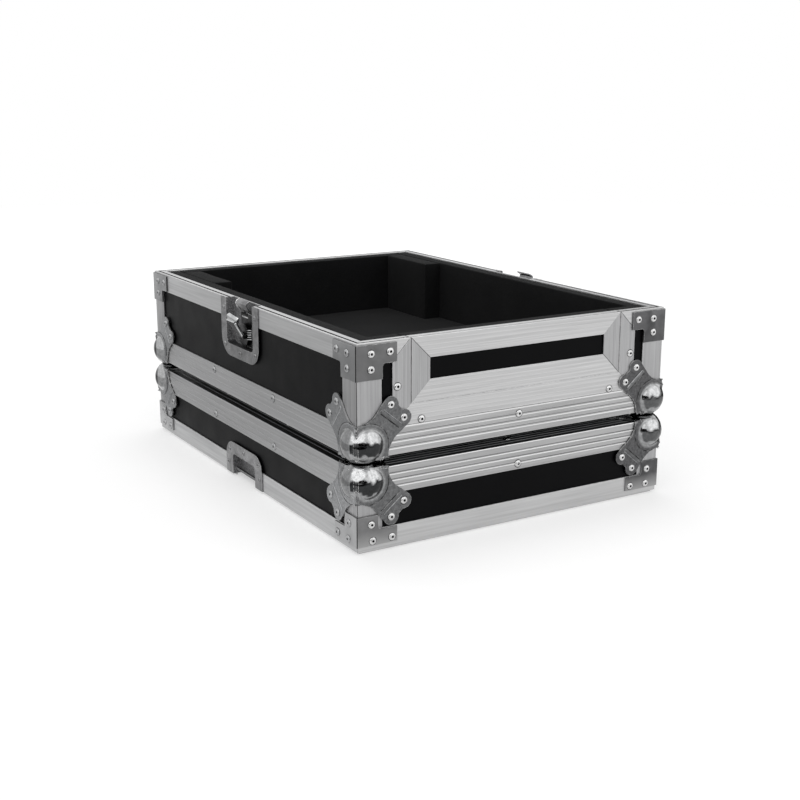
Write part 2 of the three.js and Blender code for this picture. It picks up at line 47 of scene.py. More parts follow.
# Places that several pieces share, read from the solids. The lid's tongue stands below its rim face.
tongueDrop = 0.0025
edgingLow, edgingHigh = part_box("base_edging")
halfWidth, halfDepth = edgingHigh.x, edgingHigh.y
closedFace = {"lid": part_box("lid_edging")[1].z, "base": edgingLow.z}
rimFace = {"lid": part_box("lid_rim")[0].z + tongueDrop, "base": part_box("base_rim")[1].z}
rimTop = rimFace["base"]
away = {"lid": -1, "base": 1}
cornerSides = {"front_left": (-1, -1), "front_right": (1, -1), "rear_left": (-1, 1), "rear_right": (1, 1)}


# Shared ways of making objects, meshes and nodes.
def newObject(name, data):
    thing = bpy.data.objects.new(name, data)
    bpy.context.scene.collection.objects.link(thing)
    return thing


def newMesh(name, bm, materials=()):
    mesh = bpy.data.meshes.new(name)
    bm.to_mesh(mesh)
    bm.free()
    for material in materials:
        mesh.materials.append(material)
    return mesh


def aimAt(thing, target):
    thing.rotation_euler = (Vector(target) - thing.location).to_track_quat("-Z", "Y").to_euler()


# Links each input to a socket, or sets it to a value.
def fill(node, inputs):
    for label, value in inputs.items():
        if isinstance(value, bpy.types.NodeSocket):
            node.id_data.links.new(value, node.inputs[label])
        else:
            node.inputs[label].default_value = value


def mathNode(tree, operation, *values, kind="Math"):
    node = tree.nodes.new("ShaderNode" + kind)
    node.operation = operation
    fill(node, dict(enumerate(values)))
    return node.outputs["Value"]


def noiseNode(tree, vector, scale, detail, roughness=0.5, distortion=0):
    node = tree.nodes.new("ShaderNodeTexNoise")
    fill(node, {"Vector": vector, "Scale": scale, "Detail": detail})
    fill(node, {"Roughness": roughness, "Distortion": distortion})
    return node.outputs["Fac"]


def rangeNode(tree, value, fromLow, fromHigh, toLow=0, toHigh=1):
    node = tree.nodes.new("ShaderNodeMapRange")
    fill(node, {"Value": value, "From Min": fromLow, "From Max": fromHigh, "To Min": toLow, "To Max": toHigh})
    return node.outputs["Result"]


def axisNode(tree, vector, axis):
    node = tree.nodes.new("ShaderNodeSeparateXYZ")
    fill(node, {"Vector": vector})
    return node.outputs[axis]


def attributeNode(tree, name):
    node = tree.nodes.new("ShaderNodeAttribute")
    node.attribute_name = name
    return node.outputs["Fac"]


def groupNode(tree, group, inputs):
    node = tree.nodes.new("ShaderNodeGroup")
    node.node_tree = group
    fill(node, inputs)
    return node.outputs


def mixColour(tree, factor, first, second):
    node = tree.nodes.new("ShaderNodeMix")
    node.data_type = "RGBA"
    colours = [(*value, 1) if isinstance(value, tuple) else value for value in (first, second)]
    fill(node, {0: factor, 6: colours[0], 7: colours[1]})
    return node.outputs[2]


def bumpFrom(tree, shader, height, strength, distance):
    bump = tree.nodes.new("ShaderNodeBump")
    fill(bump, {"Strength": strength, "Distance": distance, "Height": height})
    fill(shader, {"Normal": bump.outputs["Normal"]})


def newMaterial(name, inputs):
    material = bpy.data.materials.new(name)
    material.use_nodes = True
    tree, shader = material.node_tree, material.node_tree.nodes["Principled BSDF"]
    fill(shader, inputs)
    return material, tree, shader, tree.nodes.new("ShaderNodeTexCoord").outputs["Object"]


# The photograph's view.
cameraView = {
    "place": (-0.7979, -1.3609, 0.4850),
    "tiltDegrees": 90 - 14.486,
    "turnDegrees": -30.950,
    "lens": 56.587,
    "sensor": 36,
}
cameraData = bpy.data.cameras.new("photoCamera")
cameraData.lens = cameraView["lens"]
cameraData.sensor_width = cameraView["sensor"]
camera = newObject("photoCamera", cameraData)
camera.location = cameraView["place"]
camera.rotation_euler = (math.radians(cameraView["tiltDegrees"]), 0, math.radians(cameraView["turnDegrees"]))
bpy.context.scene.camera = camera
bpy.context.scene.view_settings.view_transform = "Standard"

# Studio: white surroundings, soft lamps, a pale floor, and darker cards and screens that only gloss sees.
# Lamps have a place, size and power, and cards a tone, middle and half size.
studio = {
    "ambient": 0.62,
    "floorInputs": {"Base Color": (0.62, 0.62, 0.62, 1), "Roughness": 0.8, "Specular IOR Level": 0},
    "floorGlow": (1, 1, 1, 1),
    "floorLift": 0.45,
    "floorSize": (3.5, 3.5),
    "floorSegments": 64,
    "farFloor": (0.9, 1.8, 0, 0.25),
    "lamps": {
        "keyLamp": ((-1.5, -1.1, 1.7), 3.2, 15),
        "fillLamp": ((1.3, -1.7, 1.1), 2.8, 8),
        "topLamp": ((0.1, 0.5, 2.1), 1.5, 12),
    },
    "cards": {
        "leftCard": (0.61, (-1.25, 0.35, 0.002), (1, 1.1)),
        "cornerCard": (0.012, (-0.58, -0.9, 0.004), (0.36, 0.46)),
        "rightCard": (0.02, (1.15, 0.45, 0.004), (0.7, 0.75)),
        "backCard": (0.02, (0.5, 1.4, 0.003), (0.75, 0.6)),
        "behindScreen": (0.01, (-1.2, -2.4, 0.25), (1.1, 0.55)),
        "rightScreen": (0.01, (2.4, 1.1, 0.3), (1.2, 0.9)),
    },
    "cardSegments": 40,
    "cardInputs": {"Roughness": 0.9, "Specular IOR Level": 0},
    "aim": (0, 0, 0.13),
}
world = bpy.data.worlds.new("studioWorld")
bpy.context.scene.world = world
world.use_nodes = True
tree = world.node_tree
rays = tree.nodes.new("ShaderNodeLightPath").outputs
seen = mathNode(tree, "MAXIMUM", rays["Is Camera Ray"], rays["Is Glossy Ray"])
through = mathNode(tree, "MAXIMUM", seen, rays["Is Transmission Ray"])
strength = rangeNode(tree, through, 0, 1, studio["ambient"])
fill(tree.nodes["Background"], {"Color": (1, 1, 1, 1), "Strength": strength})

for name, (place, size, power) in studio["lamps"].items():
    lampData = bpy.data.lights.new(name, "AREA")
    lampData.shape = "DISK"
    lampData.size = size
    lampData.energy = power
    lamp = newObject(name, lampData)
    lamp.location = place
    aimAt(lamp, studio["aim"])


def flatSheet(name, halfSize, material, segments):
    bm = bmesh.new()
    bmesh.ops.create_circle(bm, cap_ends=True, segments=segments, radius=1)
    bmesh.ops.scale(bm, verts=bm.verts, vec=(*halfSize, 1))
    sheet = newObject(name, newMesh(name, bm, [material]))
    return sheet


# The far floor is lifted to white for the camera alone, so its edge melts into the surroundings.
paleFloor, tree, shader, coords = newMaterial("paleFloor", studio["floorInputs"])
rays = tree.nodes.new("ShaderNodeLightPath").outputs
seen = mathNode(tree, "MAXIMUM", rays["Is Camera Ray"], rays["Is Glossy Ray"])
lift = mathNode(tree, "MULTIPLY", seen, studio["floorLift"])
far = rangeNode(tree, mathNode(tree, "LENGTH", coords, kind="VectorMath"), *studio["farFloor"])
glow = mathNode(tree, "MULTIPLY_ADD", far, rays["Is Camera Ray"], lift)
fill(shader, {"Emission Color": studio["floorGlow"], "Emission Strength": glow})
flatSheet("paleFloor", studio["floorSize"], paleFloor, studio["floorSegments"])

for name, (tone, middle, halfSize) in studio["cards"].items():
    material = newMaterial(name, {"Base Color": (tone, tone, tone, 1), **studio["cardInputs"]})[0]
    card = flatSheet(name, halfSize, material, studio["cardSegments"])
    card.location = middle
    if name.endswith("Screen"):
        aimAt(card, studio["aim"])
    card.visible_camera = card.visible_diffuse = card.visible_shadow = False
print("studio ready")

# Effects that several materials share. An edge gives the values between which a mask rises.
effectLook = {
    "streaks": (5, 0.6),
    "lineEdge": (0.43, 0.5),
    "dashes": (2600, 2),
    "dashEdge": (0.35, 0.55, 0.35),
    "paleLine": 0.6,
    "streakDepth": 0.12,
    "clouds": (6, 0.62, 0.4),
    "scratchTurn": {"Rotation": (0.5, 0.9, 0.4), "Scale": (1, 0.04, 1)},
    "scratchEdge": (0.62, 0.75),
    "turnEdge": (0.995, 0.9),
    "bevelSamples": 4,
    "patches": (4, 0.6),
    "patchEdge": (0.42, 0.6),
    "speckEdge": (0.66, 0.74),
    "film": (14, 4, 0.6),
    "filmEdge": (0.4, 0.75, 0, 0.25),
}


# A group takes a vector and numbers, and puts out numbers.
def effectGroup(name, numbers, outputs):
    tree = bpy.data.node_groups.new(name, "ShaderNodeTree")
    tree.interface.new_socket("Vector", in_out="INPUT", socket_type="NodeSocketVector")
    for label, value in numbers.items():
        socket = tree.interface.new_socket(label, in_out="INPUT", socket_type="NodeSocketFloat")
        socket.default_value = value
    for label in outputs:
        tree.interface.new_socket(label, in_out="OUTPUT", socket_type="NodeSocketFloat")
    given = tree.nodes.new("NodeGroupInput").outputs
    return tree, given, given["Vector"], tree.nodes.new("NodeGroupOutput")


# Drawn grain: streaks along one axis and faint lines across it, as on an extrusion. The lines are grooves in
# the bump with pale dashes painted along them: a painted highlight.
grainGroup, given, vector, result = effectGroup(
    "drawnGrain", {"Across": 0, "Streaks": 300, "Line Spacing": 0.005, "Line Strength": 1}, ["Tone", "Height"]
)
streaks = noiseNode(grainGroup, vector, given["Streaks"], *effectLook["streaks"])
linePhase = mathNode(grainGroup, "DIVIDE", given["Across"], given["Line Spacing"])
lineMask = rangeNode(grainGroup, mathNode(grainGroup, "PINGPONG", linePhase, 0.5), *effectLook["lineEdge"])
lineDepth = mathNode(grainGroup, "MULTIPLY", lineMask, given["Line Strength"])
dashes = rangeNode(grainGroup, noiseNode(grainGroup, vector, *effectLook["dashes"]), *effectLook["dashEdge"])
dashed = mathNode(grainGroup, "MULTIPLY", lineDepth, dashes)
paleLine = mathNode(grainGroup, "MULTIPLY", dashed, effectLook["paleLine"])
streakDepth = mathNode(grainGroup, "MULTIPLY", streaks, effectLook["streakDepth"])
fill(result, {
    "Tone": mathNode(grainGroup, "ADD", streaks, paleLine),
    "Height": mathNode(grainGroup, "SUBTRACT", streakDepth, lineDepth),
})

# Rolled sheet: cloudy plating with fine scratches.
platingGroup, given, vector, result = effectGroup(
    "cloudyPlating", {"Clouds": 60, "Scratches": 900}, ["Tone", "Scratch"]
)
scratchTurn = platingGroup.nodes.new("ShaderNodeMapping")
fill(scratchTurn, {"Vector": vector, **effectLook["scratchTurn"]})
scratches = noiseNode(platingGroup, scratchTurn.outputs["Vector"], given["Scratches"], 2)
fill(result, {
    "Tone": noiseNode(platingGroup, vector, given["Clouds"], *effectLook["clouds"]),
    "Scratch": rangeNode(platingGroup, scratches, *effectLook["scratchEdge"]),
})

# Worn edges: a mask where the surface turns over an edge.
wearGroup, given, vector, result = effectGroup("wornEdges", {"Radius": 0.001, "Patches": 180}, ["Mask"])
rounded = wearGroup.nodes.new("ShaderNodeBevel")
rounded.samples = effectLook["bevelSamples"]
fill(rounded, {"Radius": given["Radius"]})
normal = wearGroup.nodes.new("ShaderNodeNewGeometry").outputs["Normal"]
turned = mathNode(wearGroup, "DOT_PRODUCT", rounded.outputs["Normal"], normal, kind="VectorMath")
edges = rangeNode(wearGroup, turned, *effectLook["turnEdge"])
patches = noiseNode(wearGroup, vector, given["Patches"], *effectLook["patches"])
patchMask = rangeNode(wearGroup, patches, *effectLook["patchEdge"])
fill(result, {"Mask": mathNode(wearGroup, "MULTIPLY", edges, patchMask)})

# Dust: sparse pale specks over a very faint film.
dustGroup, given, vector, result = effectGroup("fineDust", {"Specks": 700, "Amount": 0.5}, ["Mask"])
specks = rangeNode(dustGroup, noiseNode(dustGroup, vector, given["Specks"], 2), *effectLook["speckEdge"])
film = rangeNode(dustGroup, noiseNode(dustGroup, vector, *effectLook["film"]), *effectLook["filmEdge"])
dusty = mathNode(dustGroup, "ADD", specks, film)
fill(result, {"Mask": mathNode(dustGroup, "MULTIPLY", dusty, given["Amount"])})

# Tones by the member's direction: members along Z are painted darker, and those along Y a little darker than
# those along X, for how the light falls on each: painted light and shade.
aluminium = {
    "tones": {
        "X": ((0.44, 0.44, 0.442), (0.56, 0.56, 0.562)),
        "Y": ((0.42, 0.422, 0.426), (0.55, 0.552, 0.556)),
        "Z": ((0.31, 0.31, 0.314), (0.42, 0.42, 0.424)),
    },
    "worn": (0.8, 0.8, 0.8),
    "wear": {"Radius": 0.0009, "Patches": 120},
    "grain": {"Streaks": 340, "Line Spacing": 0.0048},
    "toneEdge": (0.3, 0.7),
    "rough": (0.46, 0.36),
    "stretch": 0.02,
    "bump": (0.35, 0.0003),
}


def makeAluminium(name, along, lineStrength=0, tones=None):
    material, tree, shader, coords = newMaterial(name, {"Metallic": 1})
    dark, light = tones or aluminium["tones"][along]
    mapping = tree.nodes.new("ShaderNodeMapping")
    stretch = [aluminium["stretch"] if axis == along else 1 for axis in "XYZ"]
    fill(mapping, {"Vector": coords, "Scale": stretch})
    across = mathNode(tree, "ADD", *[axisNode(tree, coords, axis) for axis in "XYZ" if axis != along])
    inputs = {"Vector": mapping.outputs["Vector"], "Across": across, "Line Strength": lineStrength}
    grain = groupNode(tree, grainGroup, {**inputs, **aluminium["grain"]})
    wear = groupNode(tree, wearGroup, {"Vector": coords, **aluminium["wear"]})
    drawn = mixColour(tree, rangeNode(tree, grain["Tone"], *aluminium["toneEdge"]), dark, light)
    fill(shader, {
        "Base Color": mixColour(tree, wear["Mask"], drawn, light if tones else aluminium["worn"]),
        "Roughness": rangeNode(tree, grain["Tone"], *aluminium["toneEdge"], *aluminium["rough"]),
    })
    bumpFrom(tree, shader, grain["Height"], *aluminium["bump"])
    return material


# Dark and light tones of the metals on the ribbed edging, along X and along Y. The crests are a painted
# highlight and the grooves a painted shade, strong along X and faint along Y, and the closed faces, which
# face each other across the gap between the halves, are painted dark: painted shade.
edgingTones = {
    "edging": [((0.34, 0.34, 0.342), (0.45, 0.45, 0.452)), ((0.37, 0.372, 0.376), (0.47, 0.472, 0.476))],
    "crest": [((0.66, 0.66, 0.66), (0.82, 0.82, 0.82)), ((0.4, 0.402, 0.406), (0.49, 0.492, 0.496))],
    "groove": [((0.13, 0.13, 0.132), (0.22, 0.22, 0.222)), ((0.36, 0.362, 0.366), (0.46, 0.462, 0.466))],
    "lidClosed": [((0.12, 0.122, 0.124), (0.18, 0.183, 0.186))] * 2,
    "baseClosed": [((0.008, 0.0085, 0.009), (0.025, 0.026, 0.027))] * 2,
}
edgingMetals = {
    kind: [makeAluminium(f"{kind}Along{axis}", axis, 0, tones) for axis, tones in zip("XY", pair)]
    for kind, pair in edgingTones.items()
}
plainAluminium = [makeAluminium("aluminiumAlong" + axis, axis) for axis in "XYZ"]
linedAluminium = [makeAluminium("linedAluminiumAlong" + axis, axis, 1) for axis in "XZ"]
# Dark seam metal: dark joints at the mitres, and a painted shade in the rim's groove and along the folds of
# angles and brackets.
seamMetal = makeAluminium("seamMetal", "Z", 0, ((0.015, 0.015, 0.015), (0.04, 0.04, 0.04)))

# Each steel: its dark, light and worn tones, its lowest and highest roughness, and the scale of its clouds.
# The plated steels come in copies painted lighter or darker for how the light falls on them: sideTones and
# the Side steels on the side walls are painted light, rightTones and the Right steels at the right-hand
# corners are painted shade, and the lid's brackets are painted paler than the base's. The side rivets take a
# darker copy of the rivet steel: painted shade.
platedTones = ((0.098, 0.099, 0.101), (0.17, 0.172, 0.175), 0.62)
sideTones = ((0.23, 0.234, 0.24), (0.31, 0.315, 0.322), 0.62)
rightTones = ((0.065, 0.065, 0.067), (0.125, 0.125, 0.128), 0.55)
steels = {
    "lidBracket": ((0.14, 0.14, 0.141), (0.2, 0.2, 0.202), 0.62, 0.28, 0.36, 40),
    "lidBracketSide": ((0.36, 0.362, 0.366), (0.42, 0.422, 0.426), 0.5, 0.28, 0.36, 40),
    "lidBracketRight": (*rightTones, 0.28, 0.36, 40),
    "baseBracket": ((0.115, 0.115, 0.116), (0.155, 0.155, 0.157), 0.62, 0.28, 0.36, 40),
    "baseBracketSide": ((0.23, 0.232, 0.236), (0.28, 0.283, 0.287), 0.5, 0.28, 0.36, 40),
    "baseBracketRight": (*rightTones, 0.28, 0.36, 40),
    "ballCornerPlating": (*platedTones, 0.24, 0.34, 300),
    "ballCornerSidePlating": (*sideTones, 0.24, 0.34, 300),
    "ballCornerRightPlating": (*rightTones, 0.24, 0.34, 300),
    "creasePlating": (*platedTones, 0.24, 0.34, 70),
    "creaseSidePlating": (*sideTones, 0.24, 0.34, 70),
    "sheetEdge": ((0.4, 0.4, 0.4), (0.56, 0.56, 0.56), 0.7, 0.24, 0.34, 200),
    "dullPlating": ((0.08, 0.08, 0.082), (0.14, 0.14, 0.143), 0.4, 0.4, 0.5, 200),
    "latchPlating": ((0.15, 0.15, 0.153), (0.29, 0.29, 0.295), 0.6, 0.25, 0.36, 70),
    "brightPlating": ((0.42, 0.425, 0.43), (0.62, 0.625, 0.63), 0.75, 0.16, 0.24, 90),
    # Near-black: the mechanism's own steel, and a painted shadow on creases, collar lines and round rivet
    # heads.
    "mechanismPlating": ((0.012, 0.012, 0.012), (0.035, 0.035, 0.036), 0.3, 0.3, 0.42, 90),
    "recessPlating": ((0.05, 0.05, 0.053), (0.3, 0.3, 0.305), 0.5, 0.5, 0.6, 700),
    "flapPlating": ((0.03, 0.03, 0.032), (0.12, 0.12, 0.123), 0.5, 0.45, 0.55, 700),
    "rivetMetal": ((0.5, 0.5, 0.5), (0.72, 0.72, 0.72), 0.85, 0.18, 0.28, 300),
    "sideRivetMetal": ((0.34, 0.343, 0.348), (0.46, 0.463, 0.468), 0.6, 0.3, 0.4, 300),
}
steelLook = {
    "metallic": {"recessPlating": 0.45},
    "scratches": 900,
    "wear": {"Radius": 0.0008, "Patches": 150},
    "toneEdge": (0.35, 0.65),
    "scratchRoughness": 0.12,
    "bump": (0.12, 0.0003),
    "polish": {"dark": (0.4, 0.404, 0.408), "light": (0.62, 0.625, 0.63), "shaded": (0.012, 0.013, 0.014)},
    "polishRoughness": 0.12,
    "faded": ("lidBracket", "lidBracketRight"),
    "fadeHeights": (0.026, 0.004),
    "fadeTone": (0.42, 0.42, 0.42),
}


def makeSteel(name, dark, light, worn, roughLow, roughHigh, clouds):
    material, tree, shader, coords = newMaterial(name, {"Metallic": steelLook["metallic"].get(name, 1)})
    plating = groupNode(
        tree, platingGroup, {"Vector": coords, "Clouds": clouds, "Scratches": steelLook["scratches"]}
    )
    wear = groupNode(tree, wearGroup, {"Vector": coords, **steelLook["wear"]})
    tone = rangeNode(tree, plating["Tone"], *steelLook["toneEdge"])
    plated = mixColour(tree, tone, dark, light)
    rough = rangeNode(tree, plating["Tone"], *steelLook["toneEdge"], roughHigh, roughLow)
    # Ball corners take their polish, and through the shade attribute their painted reflection and shade.
    if name.startswith("ballCorner"):
        polish = steelLook["polish"]
        amount, shade = attributeNode(tree, "polish"), attributeNode(tree, "shade")
        mottled = mixColour(tree, tone, polish["dark"], polish["light"])
        polished = mixColour(tree, shade, polish["shaded"], mottled)
        rough = rangeNode(tree, amount, 0, 1, rough, steelLook["polishRoughness"])
        plated = mixColour(tree, amount, plated, polished)
    # Painted light: the lid's brackets are painted paler towards the floor on their front and back faces.
    if name in steelLook["faded"]:
        low = rangeNode(tree, axisNode(tree, coords, "Z"), *steelLook["fadeHeights"])
        plated = mixColour(tree, low, plated, steelLook["fadeTone"])
    scratchRough = mathNode(tree, "MULTIPLY", plating["Scratch"], steelLook["scratchRoughness"])
    fill(shader, {
        "Base Color": mixColour(tree, wear["Mask"], plated, (worn, worn, worn)),
        "Roughness": mathNode(tree, "ADD", rough, scratchRough),
    })
    height = mathNode(tree, "SUBTRACT", plating["Tone"], plating["Scratch"])
    bumpFrom(tree, shader, height, *steelLook["bump"])
    return material


steel = {name: makeSteel(name, *look) for name, look in steels.items()}

# Laminate and foam are both cellular.
cellular = {
    "blackLaminate": {
        "inputs": {"Specular IOR Level": 0.06},
        "tones": ((0.0009, 0.0009, 0.0012), (0.0016, 0.0016, 0.0021)),
        "dustTone": (0.02, 0.02, 0.021),
        "cells": 1400,
        "cloud": (30, 4),
        "dust": {"Specks": 650, "Amount": 0.12},
        "roughFrom": "cloud",
        "rough": (0.3, 0.7, 0.36, 0.46),
        "bump": (0.25, 0.0002),
    },
    "charcoalFoam": {
        "inputs": {"Specular IOR Level": 0.04, "Sheen Weight": 0.03, "Sheen Roughness": 0.6},
        "tones": ((0.0035, 0.0036, 0.0038), (0.0075, 0.0076, 0.008)),
        "dustTone": (0.05, 0.05, 0.05),
        "cells": 1100,
        "cloud": (22, 5, 0.6),
        "dust": {"Specks": 800, "Amount": 0.25},
        "roughFrom": "cells",
        "rough": (0, 0.6, 0.95, 0.8),
        "bump": (0.5, 0.0005),
    },
}


def makeCellular(name, look):
    material, tree, shader, coords = newMaterial(name, look["inputs"])
    voronoi = tree.nodes.new("ShaderNodeTexVoronoi")
    fill(voronoi, {"Vector": coords, "Scale": look["cells"]})
    sources = {"cells": voronoi.outputs["Distance"], "cloud": noiseNode(tree, coords, *look["cloud"])}
    dust = groupNode(tree, dustGroup, {"Vector": coords, **look["dust"]})
    clean = mixColour(tree, sources["cloud"], *look["tones"])
    fill(shader, {
        "Base Color": mixColour(tree, dust["Mask"], clean, look["dustTone"]),
        "Roughness": rangeNode(tree, sources[look["roughFrom"]], *look["rough"]),
    })
    bumpFrom(tree, shader, sources["cells"], *look["bump"])
    return material


laminateMaterial, foamMaterial = [makeCellular(name, look) for name, look in cellular.items()]
# A near-black for the insides of rivet holes and the hook's slot: painted shade.
hole = {"inputs": {"Specular IOR Level": 0.1, "Roughness": 0.6}, "cloud": (500, 2)}
holeMaterial, tree, shader, coords = newMaterial("darkHole", hole["inputs"])
holeTone = noiseNode(tree, coords, *hole["cloud"])
fill(shader, {"Base Color": mixColour(tree, holeTone, (0.003, 0.003, 0.003), (0.02, 0.02, 0.02))})
print("materials ready")


# Shared ways of making a piece.
def copyNode(node):
    bm = bmesh.new()
    bm.from_mesh(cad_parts[node].data)
    bmesh.ops.remove_doubles(bm, verts=bm.verts, dist=5e-6)
    return bm


def mergeFlat(bm, delimit=()):
    bmesh.ops.dissolve_limit(
        bm, angle_limit=math.radians(1), verts=bm.verts, edges=bm.edges, delimit=set(delimit)
    )


def everything(bm):
    return bm.verts[:] + bm.edges[:] + bm.faces[:]


def sharpEdges(bm, degrees, shortest=0):
    limit = math.radians(degrees)
    return [
        edge for edge in bm.edges
        if len(edge.link_faces) == 2 and edge.calc_face_angle(0) > limit and edge.calc_length() > shortest
    ]


def bevelEdges(bm, edges, offset, segments):
    return bmesh.ops.bevel(
        bm, geom=edges, offset=offset, offset_type="OFFSET", segments=segments, profile=0.5,
        affect="EDGES", clamp_overlap=False, material=-1,
    )


# Eases the edges of thin sheet, all but those across its thickness.
def easeSheet(bm, look):
    bevelEdges(bm, sharpEdges(bm, 50, 0.0011), look["ease"], 2)


# Cuts a shape along parallel planes, given as distances along a normal.
def cutAcross(bm, normal, distances, near=1e-6):
    for distance in distances:
        bmesh.ops.bisect_plane(
            bm, geom=everything(bm), dist=near, plane_co=Vector(normal) * distance, plane_no=normal
        )


# Starts a wire: a small hexagon that stands across its way, at a point.
def wireStart(bm, radius, place):
    wire = bmesh.ops.create_circle(bm, segments=6, radius=radius)["verts"]
    bmesh.ops.rotate(bm, verts=wire, cent=(0, 0, 0), matrix=Matrix.Rotation(math.pi / 2, 3, "X"))
    bmesh.ops.translate(bm, verts=wire, vec=place)
    return wire


def addPiece(name, bm, materials, body, replaced=(), smoothDegrees=20):
    for face in bm.faces:
        face.smooth = True
    for edge in bm.edges:
        edge.smooth = len(edge.link_faces) == 2 and edge.calc_face_angle(0) < math.radians(smoothDegrees)
    piece = newObject(name, newMesh(name, bm, materials))
    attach(piece, body)
    if replaced:
        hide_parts(*replaced)
    return piece


# Frames of the case: cut at their mitres, each member with its own grain, and every long edge eased.
# The metals come in pairs, for members along X and along Y.
crestIndex, grooveIndex, closedIndex, seamAndShadeIndex = 2, 4, 6, 8
frameLook = {
    "seam": 0.00012,
    "shortest": 0.02,
    "slotHeights": (0.0034, 0.0001),
    "closedReach": 0.0008,
    "closedInset": 0.0015,
}


def finishFrame(name, bm, metals, body, node, shortest, ease):
    mergeFlat(bm, ["MATERIAL"])
    bevelEdges(bm, sharpEdges(bm, 40, shortest), ease, 2)
    addPiece(name, bm, metals, body, [node])


def mitredFrame(name, node, body, look):
    bm = copyNode(node)
    seam = frameLook["seam"]
    for sideX in (-1, 1):
        for sideY in (-1, 1):
            diagonal = Vector((sideX, -sideY, 0)).normalized()
            through = diagonal.dot((sideX * halfWidth, sideY * halfDepth, 0))
            cutAcross(bm, diagonal, (through - seam, through + seam))
    cutAcross(bm, (0, 0, 1), [height for strip in look["strips"] for height in strip[:2]])
    slotLow, slotHigh = [rimTop - drop for drop in frameLook["slotHeights"]]
    for face in bm.faces:
        middle, level = face.calc_center_median(), abs(face.normal.z)
        lead = halfWidth - abs(middle.x) - halfDepth + abs(middle.y)
        inset = min(halfWidth - abs(middle.x), halfDepth - abs(middle.y))
        inSlot = look["slot"][0] < inset < look["slot"][1] and slotLow < middle.z < slotHigh
        onClosed = abs(middle.z - look["closed"]) < frameLook["closedReach"]
        member = 0 if lead > 0 else 1
        face.material_index = member
        # The rim's groove takes the dark seam metal, a painted shade, and the mitres take it as dark joints.
        # Faces on the closed face take the painted shade of the gap between the halves, and the strips the
        # painted highlight of the crests and the painted shade of the grooves.
        if inSlot or abs(lead) < seam * math.sqrt(2):
            face.material_index = seamAndShadeIndex
        elif onClosed and (level > 0.9 or inset > frameLook["closedInset"]):
            face.material_index = member + closedIndex
        else:
            for low, high, metal in look["strips"]:
                if low < middle.z < high and level < 0.5:
                    face.material_index = member + metal
    strips = [*edgingMetals["crest"], *edgingMetals["groove"], *edgingMetals[body + "Closed"]]
    metals = [*look["metals"], *strips, seamMetal]
    finishFrame(name, bm, metals, body, node, frameLook["shortest"], look["ease"])


# Strips of the edging, as distances from the closed face: pale crests, a painted highlight, and the darker
# lines above them, a painted shade.
edgingLook = {
    "ease": 0.00025,
    "ribs": (0.009, 0.0159, 0.0228),
    "grooves": {"lid": (-0.0016, -0.0006), "base": (-0.0009, 0)},
    "crests": {"lid": (0, 0.0012), "base": (-0.0033, -0.0021)},
    "edgeCrests": {"lid": (0, 0.0012), "base": (0.028, 0.0296)},
    "slot": (1, 0),
    "metals": edgingMetals["edging"],
}
rimLook = {
    "ease": 0.0003,
    "strips": [],
    "closed": math.inf,
    "slot": (0.003, 0.006),
    "metals": plainAluminium[:2],
}
for half, closed in closedFace.items():
    reaches = [(*edgingLook["edgeCrests"][half], crestIndex)]
    for rib in edgingLook["ribs"]:
        for kind, metal in (("grooves", grooveIndex), ("crests", crestIndex)):
            near, far = edgingLook[kind][half]
            reaches.append((rib + near, rib + far, metal))
    strips = []
    for near, far, metal in reaches:
        strips.append((*sorted((closed + away[half] * near, closed + away[half] * far)), metal))
    look ={**edgingLook, "strips": strips, "closed": closed}
    mitredFrame(half + "EdgingFrame", half + "_edging", half, look)
    mitredFrame(half + "RimFrame", half + "_rim", half, rimLook)
print("edging and rims")

# The door's frame and its surround: mitred too, in the plane of the front wall.
frontLook = {
    "ease": 0.0003,
    "shortest": 0.006,
    "tightSeam": 0.00005,
    "openSeam": 0.0003,
    "openMitres": [("door", -1, -1), ("door", 1, 1)],
    "doorHalf": 0.1392,
    "doorLift": 0.0007,
    "doorEndPlay": 0.0003,
    "doorSillPlay": 0.0002,
}


def frontFrame(name, node, body, halfSpan, lowest, highest):
    bm = copyNode(node)
    for vert in bm.verts:
        if body == "door" and abs(abs(vert.co.x) - halfSpan) < 1e-5:
            vert.co.x = math.copysign(halfSpan - frontLook["doorEndPlay"], vert.co.x)
        if body == "door" and abs(vert.co.z - lowest) < 1e-5:
            vert.co.z = lowest - frontLook["doorSillPlay"]
    mitres = []
    for side in (-1, 1):
        for height, slope in ((lowest, 1), (highest, -1)):
            if height < math.inf:
                isOpen = (body, side, slope) in frontLook["openMitres"]
                seam = frontLook["openSeam" if isOpen else "tightSeam"]
                diagonal = Vector((1, 0, side * slope)).normalized()
                through = diagonal.dot((side * halfSpan, 0, height))
                cutAcross(bm, diagonal, (through - seam, through + seam))
                mitres.append((diagonal, through, seam, side, slope))
    for face in bm.faces:
        middle = face.calc_center_median()
        lead = min(middle.z - lowest, highest - middle.z) - halfSpan + abs(middle.x)
        face.material_index = 1 if lead > 0 else 0
        for diagonal, through, seam, side, slope in mitres:
            nearer = slope * (middle.z - (lowest + min(highest, rimTop)) / 2) < 0 or highest == math.inf
            if nearer and side * middle.x > 0 and abs(diagonal.dot(middle) - through) < seam:
                face.material_index = 2
    finishFrame(name, bm, [*linedAluminium, seamMetal], body, node, frontLook["shortest"], frontLook["ease"])


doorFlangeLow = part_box("foam_bed")[1].z + frontLook["doorLift"]
frontFrame("doorFrameDressed", "door_frame", "door", frontLook["doorHalf"], doorFlangeLow, rimTop)
surroundLow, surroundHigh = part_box("door_surround")
frontFrame("doorSurroundDressed", "door_surround", "base", surroundHigh.x, surroundLow.z, math.inf)
print("door frame and surround")

